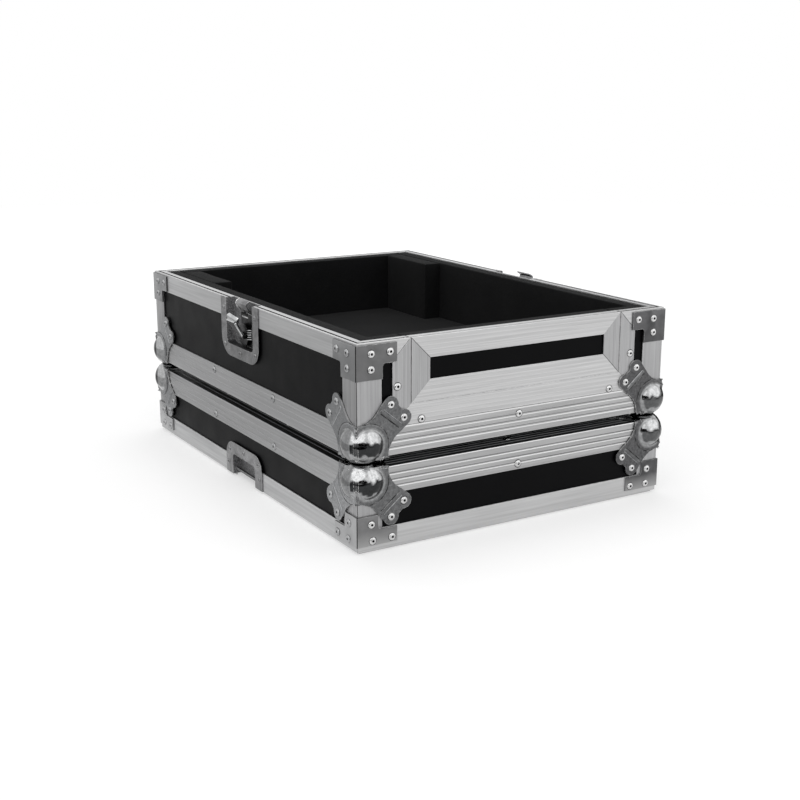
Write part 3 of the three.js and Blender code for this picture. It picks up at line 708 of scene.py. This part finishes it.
# Corner angles and brackets: folded sheet with eased edges and a rounder fold.
angleLook = {"fold": 0.0009, "ease": 0.00025}
bracketLook = {"fold": 0.0014, "ease": 0.0003}


def titled(name):
    return name.title().replace("_", "")


def foldedPiece(name, node, body, metals, look):
    bm = copyNode(node)
    low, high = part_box(node)
    mergeFlat(bm)
    for face in bm.faces:
        face.material_index = 1 if abs(face.normal.x) > 0.7 else 0
    outerX = low.x if low.x + high.x < 0 else high.x
    outerY = low.y if low.y + high.y < 0 else high.y
    folds = [
        edge for edge in sharpEdges(bm, 60)
        if all(abs(v.co.x - outerX) < 1e-5 and abs(v.co.y - outerY) < 1e-5 for v in edge.verts)
    ]
    # The middle faces of the rounded fold take the dark seam metal: a painted shade along the fold.
    for face in bevelEdges(bm, folds, look["fold"], 4)["faces"]:
        if abs(face.normal.x) > 0.5 and abs(face.normal.y) > 0.5:
            face.material_index = 2
    easeSheet(bm, look)
    addPiece(name, bm, [*metals, seamMetal], body, [node])


for half in closedFace:
    for corner, (sideX, sideY) in cornerSides.items():
        angle, bracket = f"{half}Angle{titled(corner)}", f"{half}Bracket{titled(corner)}"
        # Brackets at the right-hand corners take a darker copy of their steel and their side faces a lighter
        # one: painted shade and painted light.
        metals = [steel[half + ("BracketRight" if sideX > 0 else "Bracket")], steel[half + "BracketSide"]]
        foldedPiece(angle, f"{half}_angle_{corner}", half, plainAluminium[2:] * 2, angleLook)
        foldedPiece(bracket, f"{half}_bracket_{corner}", half, metals, bracketLook)
print("angles and brackets")

# Ball corners: three scalloped plates in one pressed sheet, pushed out into a ball over the case's tip.
ballCorner = {
    "centre": (0.013, 0.013, 0.0145),
    "radius": 0.023,
    "flat": 0.00575,
    "flatBlend": 0.0012,
    "plateFace": 0.002,
    "reach": 0.0362,
    "scallopCentre": 0.064,
    "scallopSteps": 14,
    "lobeNear": 0.0395,
    "lobeFar": 0.055,
    "lobeRadius": 0.009,
    "lobeSteps": 12,
    "valleyDegrees": 100,
    "grid": 0.0011,
    "fold": 0.0012,
    "fillet": 0.0018,
    "collarReach": 0.0044,
    "collarHeight": 0.0009,
    "collarEase": 0.001,
    "polishEdge": (0.0016, 0.002),
    "sheet": 0.0017,
    "sheetEase": 0.00045,
    "creaseFrom": (0.0315, 0.05),
    "creaseTo": (0.0485, 0.029),
    "creases": [(0, 0.0022, 0.0009, 0), (0.0026, 0.0006, 0.0008, 2), (-0.0026, 0.0005, 0.0005, 1)],
    "collarLine": {"radius": 0.0234, "wire": 0.00045, "spreadDegrees": 58, "steps": 22},
}
# Painted reflection and shade on each ball: it is painted dark from a ragged line down to its foot on its
# front or back, blackest at the line, paler beside the collar, and partly dark on the side walls, where the
# front balls are painted darker than the rear ones. A painted shadow rings the flat where the balls meet, and
# a dark outline is painted along one flank.
ballShade = {
    "ripple": {-1: 0.2, 1: 0.12},
    "rippleScale": 170,
    "horizon": (0.23, 0.15),
    "bandEnd": (0.02, 0.1),
    "foot": (-0.5, -0.42),
    "footRise": 0.16,
    "paleDepth": 0.42,
    "riseAlong": (0.2, 0.8),
    "collar": (0.71, 0.78),
    "collarEnd": (0.35, 0.15),
    "front": (0.42, 0.47),
    "edgeEnd": (0.58, 0.5),
    "depth": {-1: 0.95, 1: 0.82},
    "side": {-1: 0.56, 1: 0.2},
    "contact": (0.78, 0.85),
    "flatEdge": (0.9, 0.93),
    "outermost": (0.7, 0.78),
    "outerAxis": (0.857, 0.514),
}


# Carries a plate from one face of the corner to the next.
nextFace = Matrix(((0, 0, 1, 0), (1, 0, 0, 0), (0, 1, 0, 0), (0, 0, 0, 1)))


def smoothMax(first, second, blend):
    share = max(blend - abs(first - second), 0) / blend
    return max(first, second) + share * share * blend / 4


def justVerts(items):
    return [item for item in items if isinstance(item, bmesh.types.BMVert)]


# Spins one vertex round a point and returns the arc's last vertex.
def arcFrom(bm, vert, centre, angle, steps):
    made = bmesh.ops.spin(bm, geom=[vert], cent=(*centre, 0), axis=(0, 0, 1), angle=angle, steps=steps)
    return justVerts(made["geom_last"])[0]


def lineTo(bm, vert, x, y):
    end = bm.verts.new((x, y, 0))
    bm.edges.new((vert, end))
    return end


# The leaf of one face, from the reach on one axis over both lobes to the reach on the other.
def plateOutline(bm, shape):
    far, near, lobe = shape["lobeFar"], shape["lobeNear"], shape["lobeRadius"]
    reach, face, centre = shape["reach"], shape["plateFace"], shape["scallopCentre"]
    scallop, across = centre - reach, centre - far
    lean = math.atan2(near, -across) + math.acos((scallop + lobe) / math.hypot(across, near))
    valley = math.radians(shape["valleyDegrees"])
    start = bm.verts.new((reach, -face, 0))
    vert = lineTo(bm, start, reach, 0)
    vert = arcFrom(bm, vert, (centre, 0), lean - math.pi, shape["scallopSteps"])
    vert = lineTo(bm, vert, far - lobe * math.cos(lean), near - lobe * math.sin(lean))
    vert = arcFrom(bm, vert, (far, near), valley - lean + math.pi, shape["lobeSteps"])
    vert = lineTo(bm, vert, near + lobe * math.sin(valley), far + lobe * math.cos(valley))
    vert = arcFrom(bm, vert, (near, far), math.pi + valley - lean, shape["lobeSteps"])
    vert = lineTo(bm, vert, scallop * math.sin(lean), centre + scallop * math.cos(lean))
    vert = arcFrom(bm, vert, (0, centre), lean - math.pi, shape["scallopSteps"])
    vert = lineTo(bm, vert, -face, reach)
    vert = lineTo(bm, vert, -face, -face)
    bm.edges.new((vert, start))


def pressedCorner(shape):
    bm = bmesh.new()
    plateOutline(bm, shape)
    bmesh.ops.contextual_create(bm, geom=bm.edges[:])
    steps = int((shape["lobeFar"] + shape["lobeRadius"] + shape["plateFace"]) / shape["grid"]) + 1
    for axis in ((1, 0, 0), (0, 1, 0)):
        cutAcross(bm, axis, [step * shape["grid"] - shape["plateFace"] for step in range(1, steps)], 1e-7)
    bmesh.ops.translate(bm, verts=bm.verts, vec=(0, 0, -shape["plateFace"]))
    plate = everything(bm)
    for turn in (nextFace, nextFace @ nextFace):
        copied = bmesh.ops.duplicate(bm, geom=plate)["geom"]
        bmesh.ops.transform(bm, matrix=turn, verts=justVerts(copied))
    bmesh.ops.remove_doubles(bm, verts=bm.verts, dist=1e-5)
    bmesh.ops.recalc_face_normals(bm, faces=bm.faces)
    underside = max(bm.faces, key=lambda face: -face.calc_center_median().z)
    if underside.normal.z > 0:
        bmesh.ops.reverse_faces(bm, faces=bm.faces)
    bevelEdges(bm, sharpEdges(bm, 60), shape["fold"], 3)
    polish = bm.verts.layers.float.new("polish")
    polishEnd, polishBlend = shape["polishEdge"]
    centre = Vector(shape["centre"])
    for vert in bm.verts:
        point = vert.co.copy()
        offset = point - centre
        beyond = offset.length - shape["radius"]
        rise = beyond / shape["collarEase"]
        collar = min(max(min(rise, (shape["collarReach"] - beyond) / shape["collarEase"]), 0), 1)
        wanted = smoothMax(offset.length, shape["radius"], shape["fillet"]) + collar * shape["collarHeight"]
        vert[polish] = min(max((polishEnd - beyond) / polishBlend, 0), 1)
        if point.x < centre.x and point.y < centre.y and point.z < centre.z:
            wanted = shape["radius"]
            vert[polish] = 1
        point = centre + offset * (wanted / offset.length)
        point.z = smoothMax(point.z, -shape["flat"], shape["flatBlend"])
        vert.co = point
    bm.normal_update()
    return newMesh("pressedCorner", bm)


# From corner coordinates, which point into the case, to the place of one corner of one half.
def cornerPlace(half, sideX, sideY):
    turn = Matrix.Diagonal((-sideX, -sideY, away[half], 1))
    return Matrix.Translation((sideX * halfWidth, sideY * halfDepth, closedFace[half])) @ turn


def ramp(value, reach):
    return min(max((value - reach[0]) / (reach[1] - reach[0]), 0), 1)


def shadeBall(bm, centre, half, sideX, sideY):
    shade = bm.verts.layers.float.new("shade")
    look = ballShade
    outerX, outerY = look["outerAxis"]
    for vert in bm.verts:
        out = (vert.co - centre).normalized()
        height = out.z + noise.noise(vert.co * look["rippleScale"]) * look["ripple"][sideX]
        facing = out.y * sideY / max(math.hypot(out.x, out.y), 1e-6)
        front = ramp(facing, look["front"])
        foot = height - look["footRise"] * ramp(out.x * sideX, look["riseAlong"])
        besideCollar = (1 - ramp(abs(out.y), look["collar"])) * ramp(out.x * sideX, look["collarEnd"])
        low = ramp(height, look["horizon"]) * front
        dark = low * ramp(foot, look["foot"]) * (1 - besideCollar)
        darkest = max(ramp(height, look["bandEnd"]), ramp(facing, look["edgeEnd"]))
        paintedDark = max(dark * max(look["depth"][sideX], darkest), max(low, besideCollar) * look["paleDepth"])
        towardsOther = -away[half] * out.z
        contact = ramp(towardsOther, look["contact"]) * (1 - ramp(towardsOther, look["flatEdge"]))
        outwards = (out.x * sideX * outerX + out.y * sideY * outerY) * (-sideX * sideY)
        outer = ramp(outwards, look["outermost"])
        vert[shade] = 1 - max(paintedDark, (1 - front) * look["side"][sideY], contact, outer)


# A low bar with round ends, lying on a plate.
def addBar(bm, start, end, up, width, height, materialIndex=0):
    made = bmesh.ops.create_uvsphere(bm, u_segments=16, v_segments=8, radius=width)["verts"]
    along = Vector(end) - Vector(start)
    bmesh.ops.translate(bm, verts=[vert for vert in made if vert.co.x > width / 10], vec=(along.length, 0, 0))
    bmesh.ops.scale(bm, verts=made, vec=(1, 1, height / width))
    lengthwise, upwards = along.normalized(), Vector(up).normalized()
    turn = Matrix((lengthwise, upwards.cross(lengthwise), upwards)).transposed().to_4x4()
    bmesh.ops.transform(bm, matrix=Matrix.Translation(start) @ turn, verts=made)
    for vert in made:
        for face in vert.link_faces:
            face.material_index = materialIndex


cornerMesh = pressedCorner(ballCorner)
for half in closedFace:
    for corner, (sideX, sideY) in cornerSides.items():
        bm = bmesh.new()
        bm.from_mesh(cornerMesh)
        place = cornerPlace(half, sideX, sideY)
        bmesh.ops.transform(bm, matrix=place, verts=bm.verts)
        if place.determinant() < 0:
            bmesh.ops.reverse_faces(bm, faces=bm.faces)
        shadeBall(bm, place @ Vector(ballCorner["centre"]), half, sideX, sideY)
        bm.normal_update()
        # Side faces take a lighter copy of the plating and the right-hand corners a darker one: painted light
        # and painted shade. The sheet's rim and eased edges take the paler sheetEdge steel: a painted
        # highlight.
        for face in bm.faces:
            face.material_index = 1 if abs(face.normal.x) > 0.8 else 0
        front = steel["ballCornerRightPlating" if sideX > 0 else "ballCornerPlating"]
        metals = [front, steel["ballCornerSidePlating"], steel["sheetEdge"], steel["sheetEdge"]]
        node = f"{half}_ball_corner_{corner}"
        piece = addPiece(f"{half}BallCorner{titled(corner)}", bm, metals, half, [node], 50)
        wall = piece.modifiers.new("sheet", "SOLIDIFY")
        wall.thickness = ballCorner["sheet"]
        wall.offset = -1
        wall.material_offset_rim = 2
        ease = piece.modifiers.new("ease", "BEVEL")
        ease.width = ballCorner["sheetEase"]
        ease.segments = 2
        ease.material = 2
        ease.limit_method = "ANGLE"
        ease.angle_limit = math.radians(60)

# The dark line outside a collar, a painted shadow: a thin wire, bent round the ball on one plate.
lineLook = ballCorner["collarLine"]
bm = bmesh.new()
wire = wireStart(bm, lineLook["wire"], (lineLook["radius"], 0, 0))
lineStart = math.radians(45 - lineLook["spreadDegrees"])
bmesh.ops.rotate(bm, verts=wire, cent=(0, 0, 0), matrix=Matrix.Rotation(lineStart, 3, "Z"))
bmesh.ops.spin(
    bm, geom=wire + bm.edges[:], cent=(0, 0, 0), axis=(0, 0, 1),
    angle=math.radians(2 * lineLook["spreadDegrees"]), steps=lineLook["steps"],
)
bmesh.ops.holes_fill(bm, edges=bm.edges[:], sides=6)
collarMesh = newMesh("collarLine", bm)

# Creases and collar lines on the upright plates, taken round from the closed face to the side and the front.
# On the front and back plates a thin pale bar beside each crease is a painted highlight and a thin dark bar
# on its other side a painted shadow; the collar lines are painted shadows.
plateLevel = -ballCorner["plateFace"]
creaseEnds = [Vector((*ballCorner[end], plateLevel)) for end in ("creaseFrom", "creaseTo")]
creaseAside = (creaseEnds[1] - creaseEnds[0]).normalized().cross((0, 0, -1))
creaseMetals = [steel["creasePlating"], steel["mechanismPlating"], steel["creaseSidePlating"]]
for half in closedFace:
    bm, linesShape = bmesh.new(), bmesh.new()
    for sideX, sideY in cornerSides.values():
        for turn, toFace in ((1, nextFace), (2, nextFace @ nextFace)):
            place = cornerPlace(half, sideX, sideY) @ toFace
            outwards = place.to_3x3() @ Vector((0, 0, -1))
            bars = ballCorner["creases"] if turn == 2 else [(*ballCorner["creases"][0][:3], 2)]
            for aside, width, height, metal in bars:
                start, end = [place @ (crease + creaseAside * aside) for crease in creaseEnds]
                addBar(bm, start, end, outwards, width, height, metal)
            centre = ballCorner["centre"]
            ring = Matrix.Translation((centre[turn], centre[(turn + 1) % 3], plateLevel))
            first = len(linesShape.verts)
            linesShape.from_mesh(collarMesh)
            linesShape.verts.ensure_lookup_table()
            bmesh.ops.transform(linesShape, matrix=place @ ring, verts=linesShape.verts[first:])
    addPiece(half + "BallCornerCreases", bm, creaseMetals, half, (), 50)
    bmesh.ops.recalc_face_normals(linesShape, faces=linesShape.faces)
    addPiece(half + "BallCornerLines", linesShape, [steel["mechanismPlating"]], half, (), 50)
print("ball corners")

# Boards: their solids keep their shape and take the laminate.
for name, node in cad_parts.items():
    if name.endswith("_panel"):
        node.material_slots[0].material = laminateMaterial
print("boards")

# Foam: cut pads with soft edges and slightly uneven faces.
foamLook = {"edge": 0.0016, "segments": 3, "step": 0.022, "unevenness": 0.00035, "sinking": 0.6, "waves": 24}
foamPads = {
    "foamBedPad": ("foam_bed", "base"),
    "foamLeftLining": ("foam_left_lining", "base"),
    "foamRightLining": ("foam_right_lining", "base"),
    "foamRearLining": ("foam_rear_lining", "base"),
    "foamRearLeftBlock": ("foam_rear_left_block", "base"),
    "foamRearRightBlock": ("foam_rear_right_block", "base"),
    "foamDoorPad": ("door_foam", "door"),
    "foamLidPad": ("lid_foam", "lid"),
}
for name, (node, body) in foamPads.items():
    bm = copyNode(node)
    mergeFlat(bm)
    bevelEdges(bm, sharpEdges(bm, 60), foamLook["edge"], foamLook["segments"])
    for low, high, normal in zip(*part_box(node), ((1, 0, 0), (0, 1, 0), (0, 0, 1))):
        steps = int((high - low) / foamLook["step"])
        cutAcross(bm, normal, [low + step * (high - low) / (steps + 1) for step in range(1, steps + 1)], 1e-7)
    bmesh.ops.triangulate(bm, faces=[face for face in bm.faces if len(face.verts) > 4])
    bm.normal_update()
    for vert in bm.verts:
        drift = noise.noise(vert.co * foamLook["waves"]) * foamLook["unevenness"]
        vert.co = vert.co + vert.normal * (drift - foamLook["unevenness"] * foamLook["sinking"])
    piece = addPiece(name, bm, [foamMaterial], body, [node], 45)
print("foam")

# Rivets: domed heads with the hole that the mandrel leaves. The profile is in millimetres. The hole is
# near-black, a painted shade, and a thin dark ring round the head is a painted shadow.
rivet = {
    "profile": [
        (4.75, 0), (4.7, 0.12), (4.15, 0.14), (4.1, 0.45), (3.6, 1), (2.7, 1.4), (1.9, 1.55), (1.45, 1.45),
        (1.2, 1.1), (1.15, 0.25),
    ],
    "steps": 16,
    "unit": 0.001,
    "hole": 0.0013,
    "head": 0.00412,
}
bm = bmesh.new()
unit = rivet["unit"]
rivetVerts = [bm.verts.new((radius * unit, 0, height * unit)) for radius, height in rivet["profile"]]
rivetEdges = [bm.edges.new(pair) for pair in zip(rivetVerts, rivetVerts[1:])]
bmesh.ops.spin(
    bm, geom=rivetVerts + rivetEdges, cent=(0, 0, 0), axis=(0, 0, 1), angle=math.tau, steps=rivet["steps"],
    use_merge=True,
)
bmesh.ops.holes_fill(bm, edges=bm.edges[:], sides=rivet["steps"])
bmesh.ops.recalc_face_normals(bm, faces=bm.faces)
for face in bm.faces:
    fromAxis = math.hypot(*face.calc_center_median().xy)
    face.material_index = 1 if fromAxis < rivet["hole"] else 2 if fromAxis > rivet["head"] else 0
rivetMesh = newMesh("rivetHead", bm)


# One object of rivet heads, each at a point of a face and pointing out of it.
def addRivets(name, body, places, size=1, metal=None):
    bm = bmesh.new()
    for point, normal in places:
        first, firstFace = len(bm.verts), len(bm.faces)
        bm.from_mesh(rivetMesh)
        bm.verts.ensure_lookup_table()
        bm.faces.ensure_lookup_table()
        # On side faces the heads take a darker rivet steel, and the hole and the ring round the head a paler
        # dark steel: painted shade.
        if abs(normal[0]) > 0.5:
            for face in bm.faces[firstFace:]:
                face.material_index = 4 if face.material_index else 3
        turn = Vector(normal).to_track_quat("Z", "Y").to_matrix().to_4x4()
        place = Matrix.Translation(point) @ turn @ Matrix.Scale(size, 4)
        bmesh.ops.transform(bm, matrix=place, verts=bm.verts[first:])
    metals = [
        metal or steel["rivetMetal"], holeMaterial, steel["mechanismPlating"],
        metal or steel["sideRivetMetal"], steel["dullPlating"],
    ]
    addPiece(name, bm, metals, body, (), 60)


# Places: on the two faces of a bracket and the three of a ball corner, from the corner inwards; on the
# surround, as insets and heights; in the middle of the front and rear edgings, and twice in each side's; and
# through the flanges and recesses of dishes and keepers, as places along the case and heights.
rivetPlaces = {
    "baseBracket": [(0.0164, 0.0116), (0.0388, 0.0111), (0.0163, 0.0278)],
    "lidBracket": [(0.0170, 0.0112), (0.0405, 0.0117), (0.0157, 0.0292)],
    "bracketFace": 0.0018,
    "ballPlate": [(0.0395, 0.055), (0.055, 0.0395)],
    "surround": [(0.0483, 0.1755), (0.0775, 0.1372)],
    "edgingRise": {"lid": -0.0237, "base": 0.0224},
    "edgingLand": 0.0004,
    "edgingFlat": 0.0215,
    "edgingSide": (-0.086, 0.086),
    "dish": [(-0.0454, 0.013), (0.0454, 0.013), (-0.0432, 0.058), (0.0432, 0.058), (0, 0.063)],
    "keeper": [(0, 0.037), (0.045, 0.016), (-0.045, 0.016), (-0.042, 0.0335), (0.042, 0.0335)],
    "latchWall": 0.0012,
    "latchSize": 0.72,
}
for half in closedFace:
    bracketSpots, ballSpots = [], []
    for sideX, sideY in cornerSides.values():
        face = rivetPlaces["bracketFace"]
        for across, drop in rivetPlaces[half + "Bracket"]:
            height = rimFace[half] - away[half] * drop
            bracketSpots.append(
                ((sideX * (halfWidth - across), sideY * (halfDepth + face), height), (0, sideY, 0))
            )
            bracketSpots.append(
                ((sideX * (halfWidth + face), sideY * (halfDepth - across), height), (sideX, 0, 0))
            )
        toPlace = cornerPlace(half, sideX, sideY)
        for u, v in rivetPlaces["ballPlate"]:
            for point, normal in (
                ((u, v, plateLevel), (0, 0, -1)),
                ((plateLevel, u, v), (-1, 0, 0)),
                ((v, plateLevel, u), (0, -1, 0)),
            ):
                ballSpots.append((toPlace @ Vector(point), toPlace.to_3x3() @ Vector(normal)))
    addRivets(half + "BracketRivets", half, bracketSpots)
    addRivets(half + "BallCornerRivets", half, ballSpots)
surroundSpots = [
    ((side * (halfWidth - inset), surroundLow.y, height), (0, -1, 0))
    for side in (-1, 1) for inset, height in rivetPlaces["surround"]
]
addRivets("surroundRivets", "base", surroundSpots)
for half, closed in closedFace.items():
    height = closed + rivetPlaces["edgingRise"][half]
    level = closed + away[half] * rivetPlaces["edgingLand"]
    flatNormal = (0, 0, -away[half])
    places = []
    for side in (-1, 1):
        deep, wide = [side * (span - rivetPlaces["edgingLand"]) for span in (halfDepth, halfWidth)]
        flatDeep, flatWide = [side * (span - rivetPlaces["edgingFlat"]) for span in (halfDepth, halfWidth)]
        places += [((0, deep, height), (0, side, 0)), ((0, flatDeep, level), flatNormal)]
        for along in rivetPlaces["edgingSide"]:
            places += [((wide, along, height), (side, 0, 0)), ((flatWide, along, level), flatNormal)]
    addRivets(half + "EdgingRivets", half, places)
dishSpots = [(y, rimTop - drop) for y, drop in rivetPlaces["dish"]]
latchFace = halfWidth + rivetPlaces["latchWall"]
for name, half, spots in (("dishRivets", "base", dishSpots), ("keeperRivets", "lid", rivetPlaces["keeper"])):
    places = [((side * latchFace, y, z), (side, 0, 0)) for side in (-1, 1) for y, z in spots]
    addRivets(name, half, places, rivetPlaces["latchSize"], steel["latchPlating"])
print("rivets")

# Latches: pressed dishes and keepers, a dark carriage with its hook and spring, a rotor and a folding wing.
latchLook = {
    "ease": 0.00025,
    "recess": 0.0006,
    "carriageTop": 0.0151,
    "carriageFace": 0.0075,
    "springPlace": (0.0039, -0.0195, 0.1812),
    "springRadius": 0.0029,
    "springStretch": 1.6,
    "springTurns": 5,
    "springSteps": 14,
    "springLength": 0.0135,
    "wire": 0.00055,
    "slot": {"from": -0.006, "to": 0.0095, "below": 0.0157, "width": 0.0013, "height": 0.0005},
    "rib": {"from": -0.0065, "to": 0.009, "below": 0.0195, "width": 0.0008, "height": 0.0006},
    "wingPin": (0.0007, 0.1845),
    "wingTilt": 30,
    "tipLow": (-0.0066, -0.0112, 0.0175),
    "tipHigh": (-0.0024, 0.0112, 0.0225),
    "tipRise": 0.0045,
    "tipLean": 0.003,
    "tipEase": 0.0006,
    "lipAlong": 0.0005,
    "lip": [
        (0.0011, 0.2288), (-0.0029, 0.227), (-0.0042, 0.2242), (-0.0025, 0.2197), (0.0024, 0.2147),
        (0.0057, 0.2125),
    ],
    "lipRadius": 0.0007,
    "flapRib": {"from": 0.002, "to": 0.0185, "aside": -0.0109, "width": 0.0021, "height": 0.0014},
    "knuckle": 0.003,
}


def latchCopy(node):
    bm = copyNode(node)
    mergeFlat(bm)
    bm.normal_update()
    return bm


for side, sideX in (("left", -1), ("right", 1)):
    place = side.title()
    for node, name, half in (("latch_dish_", "latchDish", "base"), ("lid_keeper_", "lidKeeper", "lid")):
        bm = latchCopy(node + side)
        for face in bm.faces:
            # Inside the recess the floor and the wall that faces forward take a speckled steel, and the walls
            # that face up, down or back a dark steel: a painted shade.
            if halfWidth - abs(face.calc_center_median().x) > latchLook["recess"]:
                face.material_index = 2 if abs(face.normal.z) > 0.5 or face.normal.y > 0.5 else 1
        easeSheet(bm, latchLook)
        metals = [steel["latchPlating"], steel["recessPlating"], steel["flapPlating"]]
        addPiece(name + place, bm, metals, half, [node + side])

    node = "latch_hook_" + side
    bm = latchCopy(node)
    for face in bm.faces:
        if face.calc_center_median().z > rimTop - latchLook["carriageTop"]:
            face.material_index = 1
    easeSheet(bm, latchLook)
    # A lip along the hook's curled top and a rib on the carriage take the pale crest metal, a painted
    # highlight; the slot is a dark bar, a painted shade, not cut.
    lip = [Vector((sideX * (halfWidth - inset), latchLook["lipAlong"], z)) for inset, z in latchLook["lip"]]
    for start, end in zip(lip, lip[1:]):
        addBar(bm, start, end, (0, 1, 0), latchLook["lipRadius"], latchLook["lipRadius"], 2)
    outside = sideX * (halfWidth - latchLook["carriageFace"])
    for bar, material in ((latchLook["slot"], 3), (latchLook["rib"], 2)):
        start, end = [(outside, bar[label], rimTop - bar["below"]) for label in ("from", "to")]
        addBar(bm, start, end, (sideX, 0, 0), bar["width"], bar["height"], material)
    metals = [steel["mechanismPlating"], steel["latchPlating"], edgingMetals["crest"][0], holeMaterial]
    addPiece("latchHook" + place, bm, metals, "hook_" + side, [node], 30)

    bm = bmesh.new()
    inset, along, height = latchLook["springPlace"]
    axis = Vector((sideX * (halfWidth - inset), along, height))
    wire = wireStart(bm, latchLook["wire"], axis + Vector((latchLook["springRadius"], 0, 0)))
    steps = latchLook["springTurns"] * latchLook["springSteps"]
    bmesh.ops.spin(
        bm, geom=wire + bm.edges[:], cent=axis, axis=(0, 0, 1), steps=steps,
        dvec=(0, 0, latchLook["springLength"] / steps), angle=latchLook["springTurns"] * math.tau,
    )
    bmesh.ops.holes_fill(bm, edges=bm.edges[:], sides=6)
    stretch = (1, latchLook["springStretch"], 1)
    bmesh.ops.scale(bm, verts=bm.verts, vec=stretch, space=Matrix.Translation(-axis))
    bmesh.ops.recalc_face_normals(bm, faces=bm.faces)
    addPiece("latchSpring" + place, bm, [steel["brightPlating"]], "hook_" + side, (), 70)

    node = "latch_rotor_" + side
    bm = latchCopy(node)
    easeSheet(bm, latchLook)
    metals = [steel["mechanismPlating"]]
    addPiece("latchRotor" + place, bm, metals, "rotor_" + side, [node], 30)

    tilt = math.radians(latchLook["wingTilt"])
    outward = Vector((sideX * math.cos(tilt), 0, -math.sin(tilt)))
    upward = Vector((sideX * math.sin(tilt), 0, math.cos(tilt)))
    proud, pinHeight = latchLook["wingPin"]
    pin = Vector((sideX * (halfWidth + proud), 0, pinHeight))
    node = "latch_wing_" + side
    bm = latchCopy(node)
    # The wing's broad faces and its knuckle take a dark steel, a painted shade, and its edges, its tip and
    # the rib along its front edge a bright one, a painted highlight.
    for face in bm.faces:
        fromPin = face.calc_center_median() - pin
        nearPin = math.hypot(fromPin.x, fromPin.z) < latchLook["knuckle"]
        face.material_index = 1 if nearPin or abs(face.normal.dot(outward)) > 0.9 else 0
    easeSheet(bm, latchLook)
    rib = latchLook["flapRib"]
    start, end = [pin + Vector((0, rib["aside"], 0)) + upward * rib[label] for label in ("from", "to")]
    addBar(bm, start, end, (0, -1, 0), rib["width"], rib["height"])
    tip = bmesh.ops.create_cube(bm, size=1)["verts"]
    tipLow, tipHigh = Vector(latchLook["tipLow"]), Vector(latchLook["tipHigh"])
    bmesh.ops.scale(bm, verts=tip, vec=tipHigh - tipLow)
    bmesh.ops.translate(bm, verts=tip, vec=(tipHigh + tipLow) / 2)
    for vert in tip:
        rise = latchLook["tipRise"]
        if vert.co.z < (tipLow.z + tipHigh.z) / 2:
            rise = latchLook["tipRise"] / 3
            vert.co.x += latchLook["tipLean"]
        vert.co.z += rise * (vert.co.y - tipLow.y) / (tipHigh.y - tipLow.y)
    turn = Matrix((outward, Vector((0, 1, 0)), upward)).transposed().to_4x4()
    bmesh.ops.transform(bm, matrix=Matrix.Translation(pin) @ turn, verts=tip)
    tipEdges = list({edge for vert in tip for edge in vert.link_edges})
    bevelEdges(bm, tipEdges, latchLook["tipEase"], 3)
    bmesh.ops.recalc_face_normals(bm, faces=bm.faces)
    metals = [steel["brightPlating"], steel["flapPlating"]]
    addPiece("latchWing" + place, bm, metals, "wing_" + side, [node], 30)
print("latches")

print("finished")
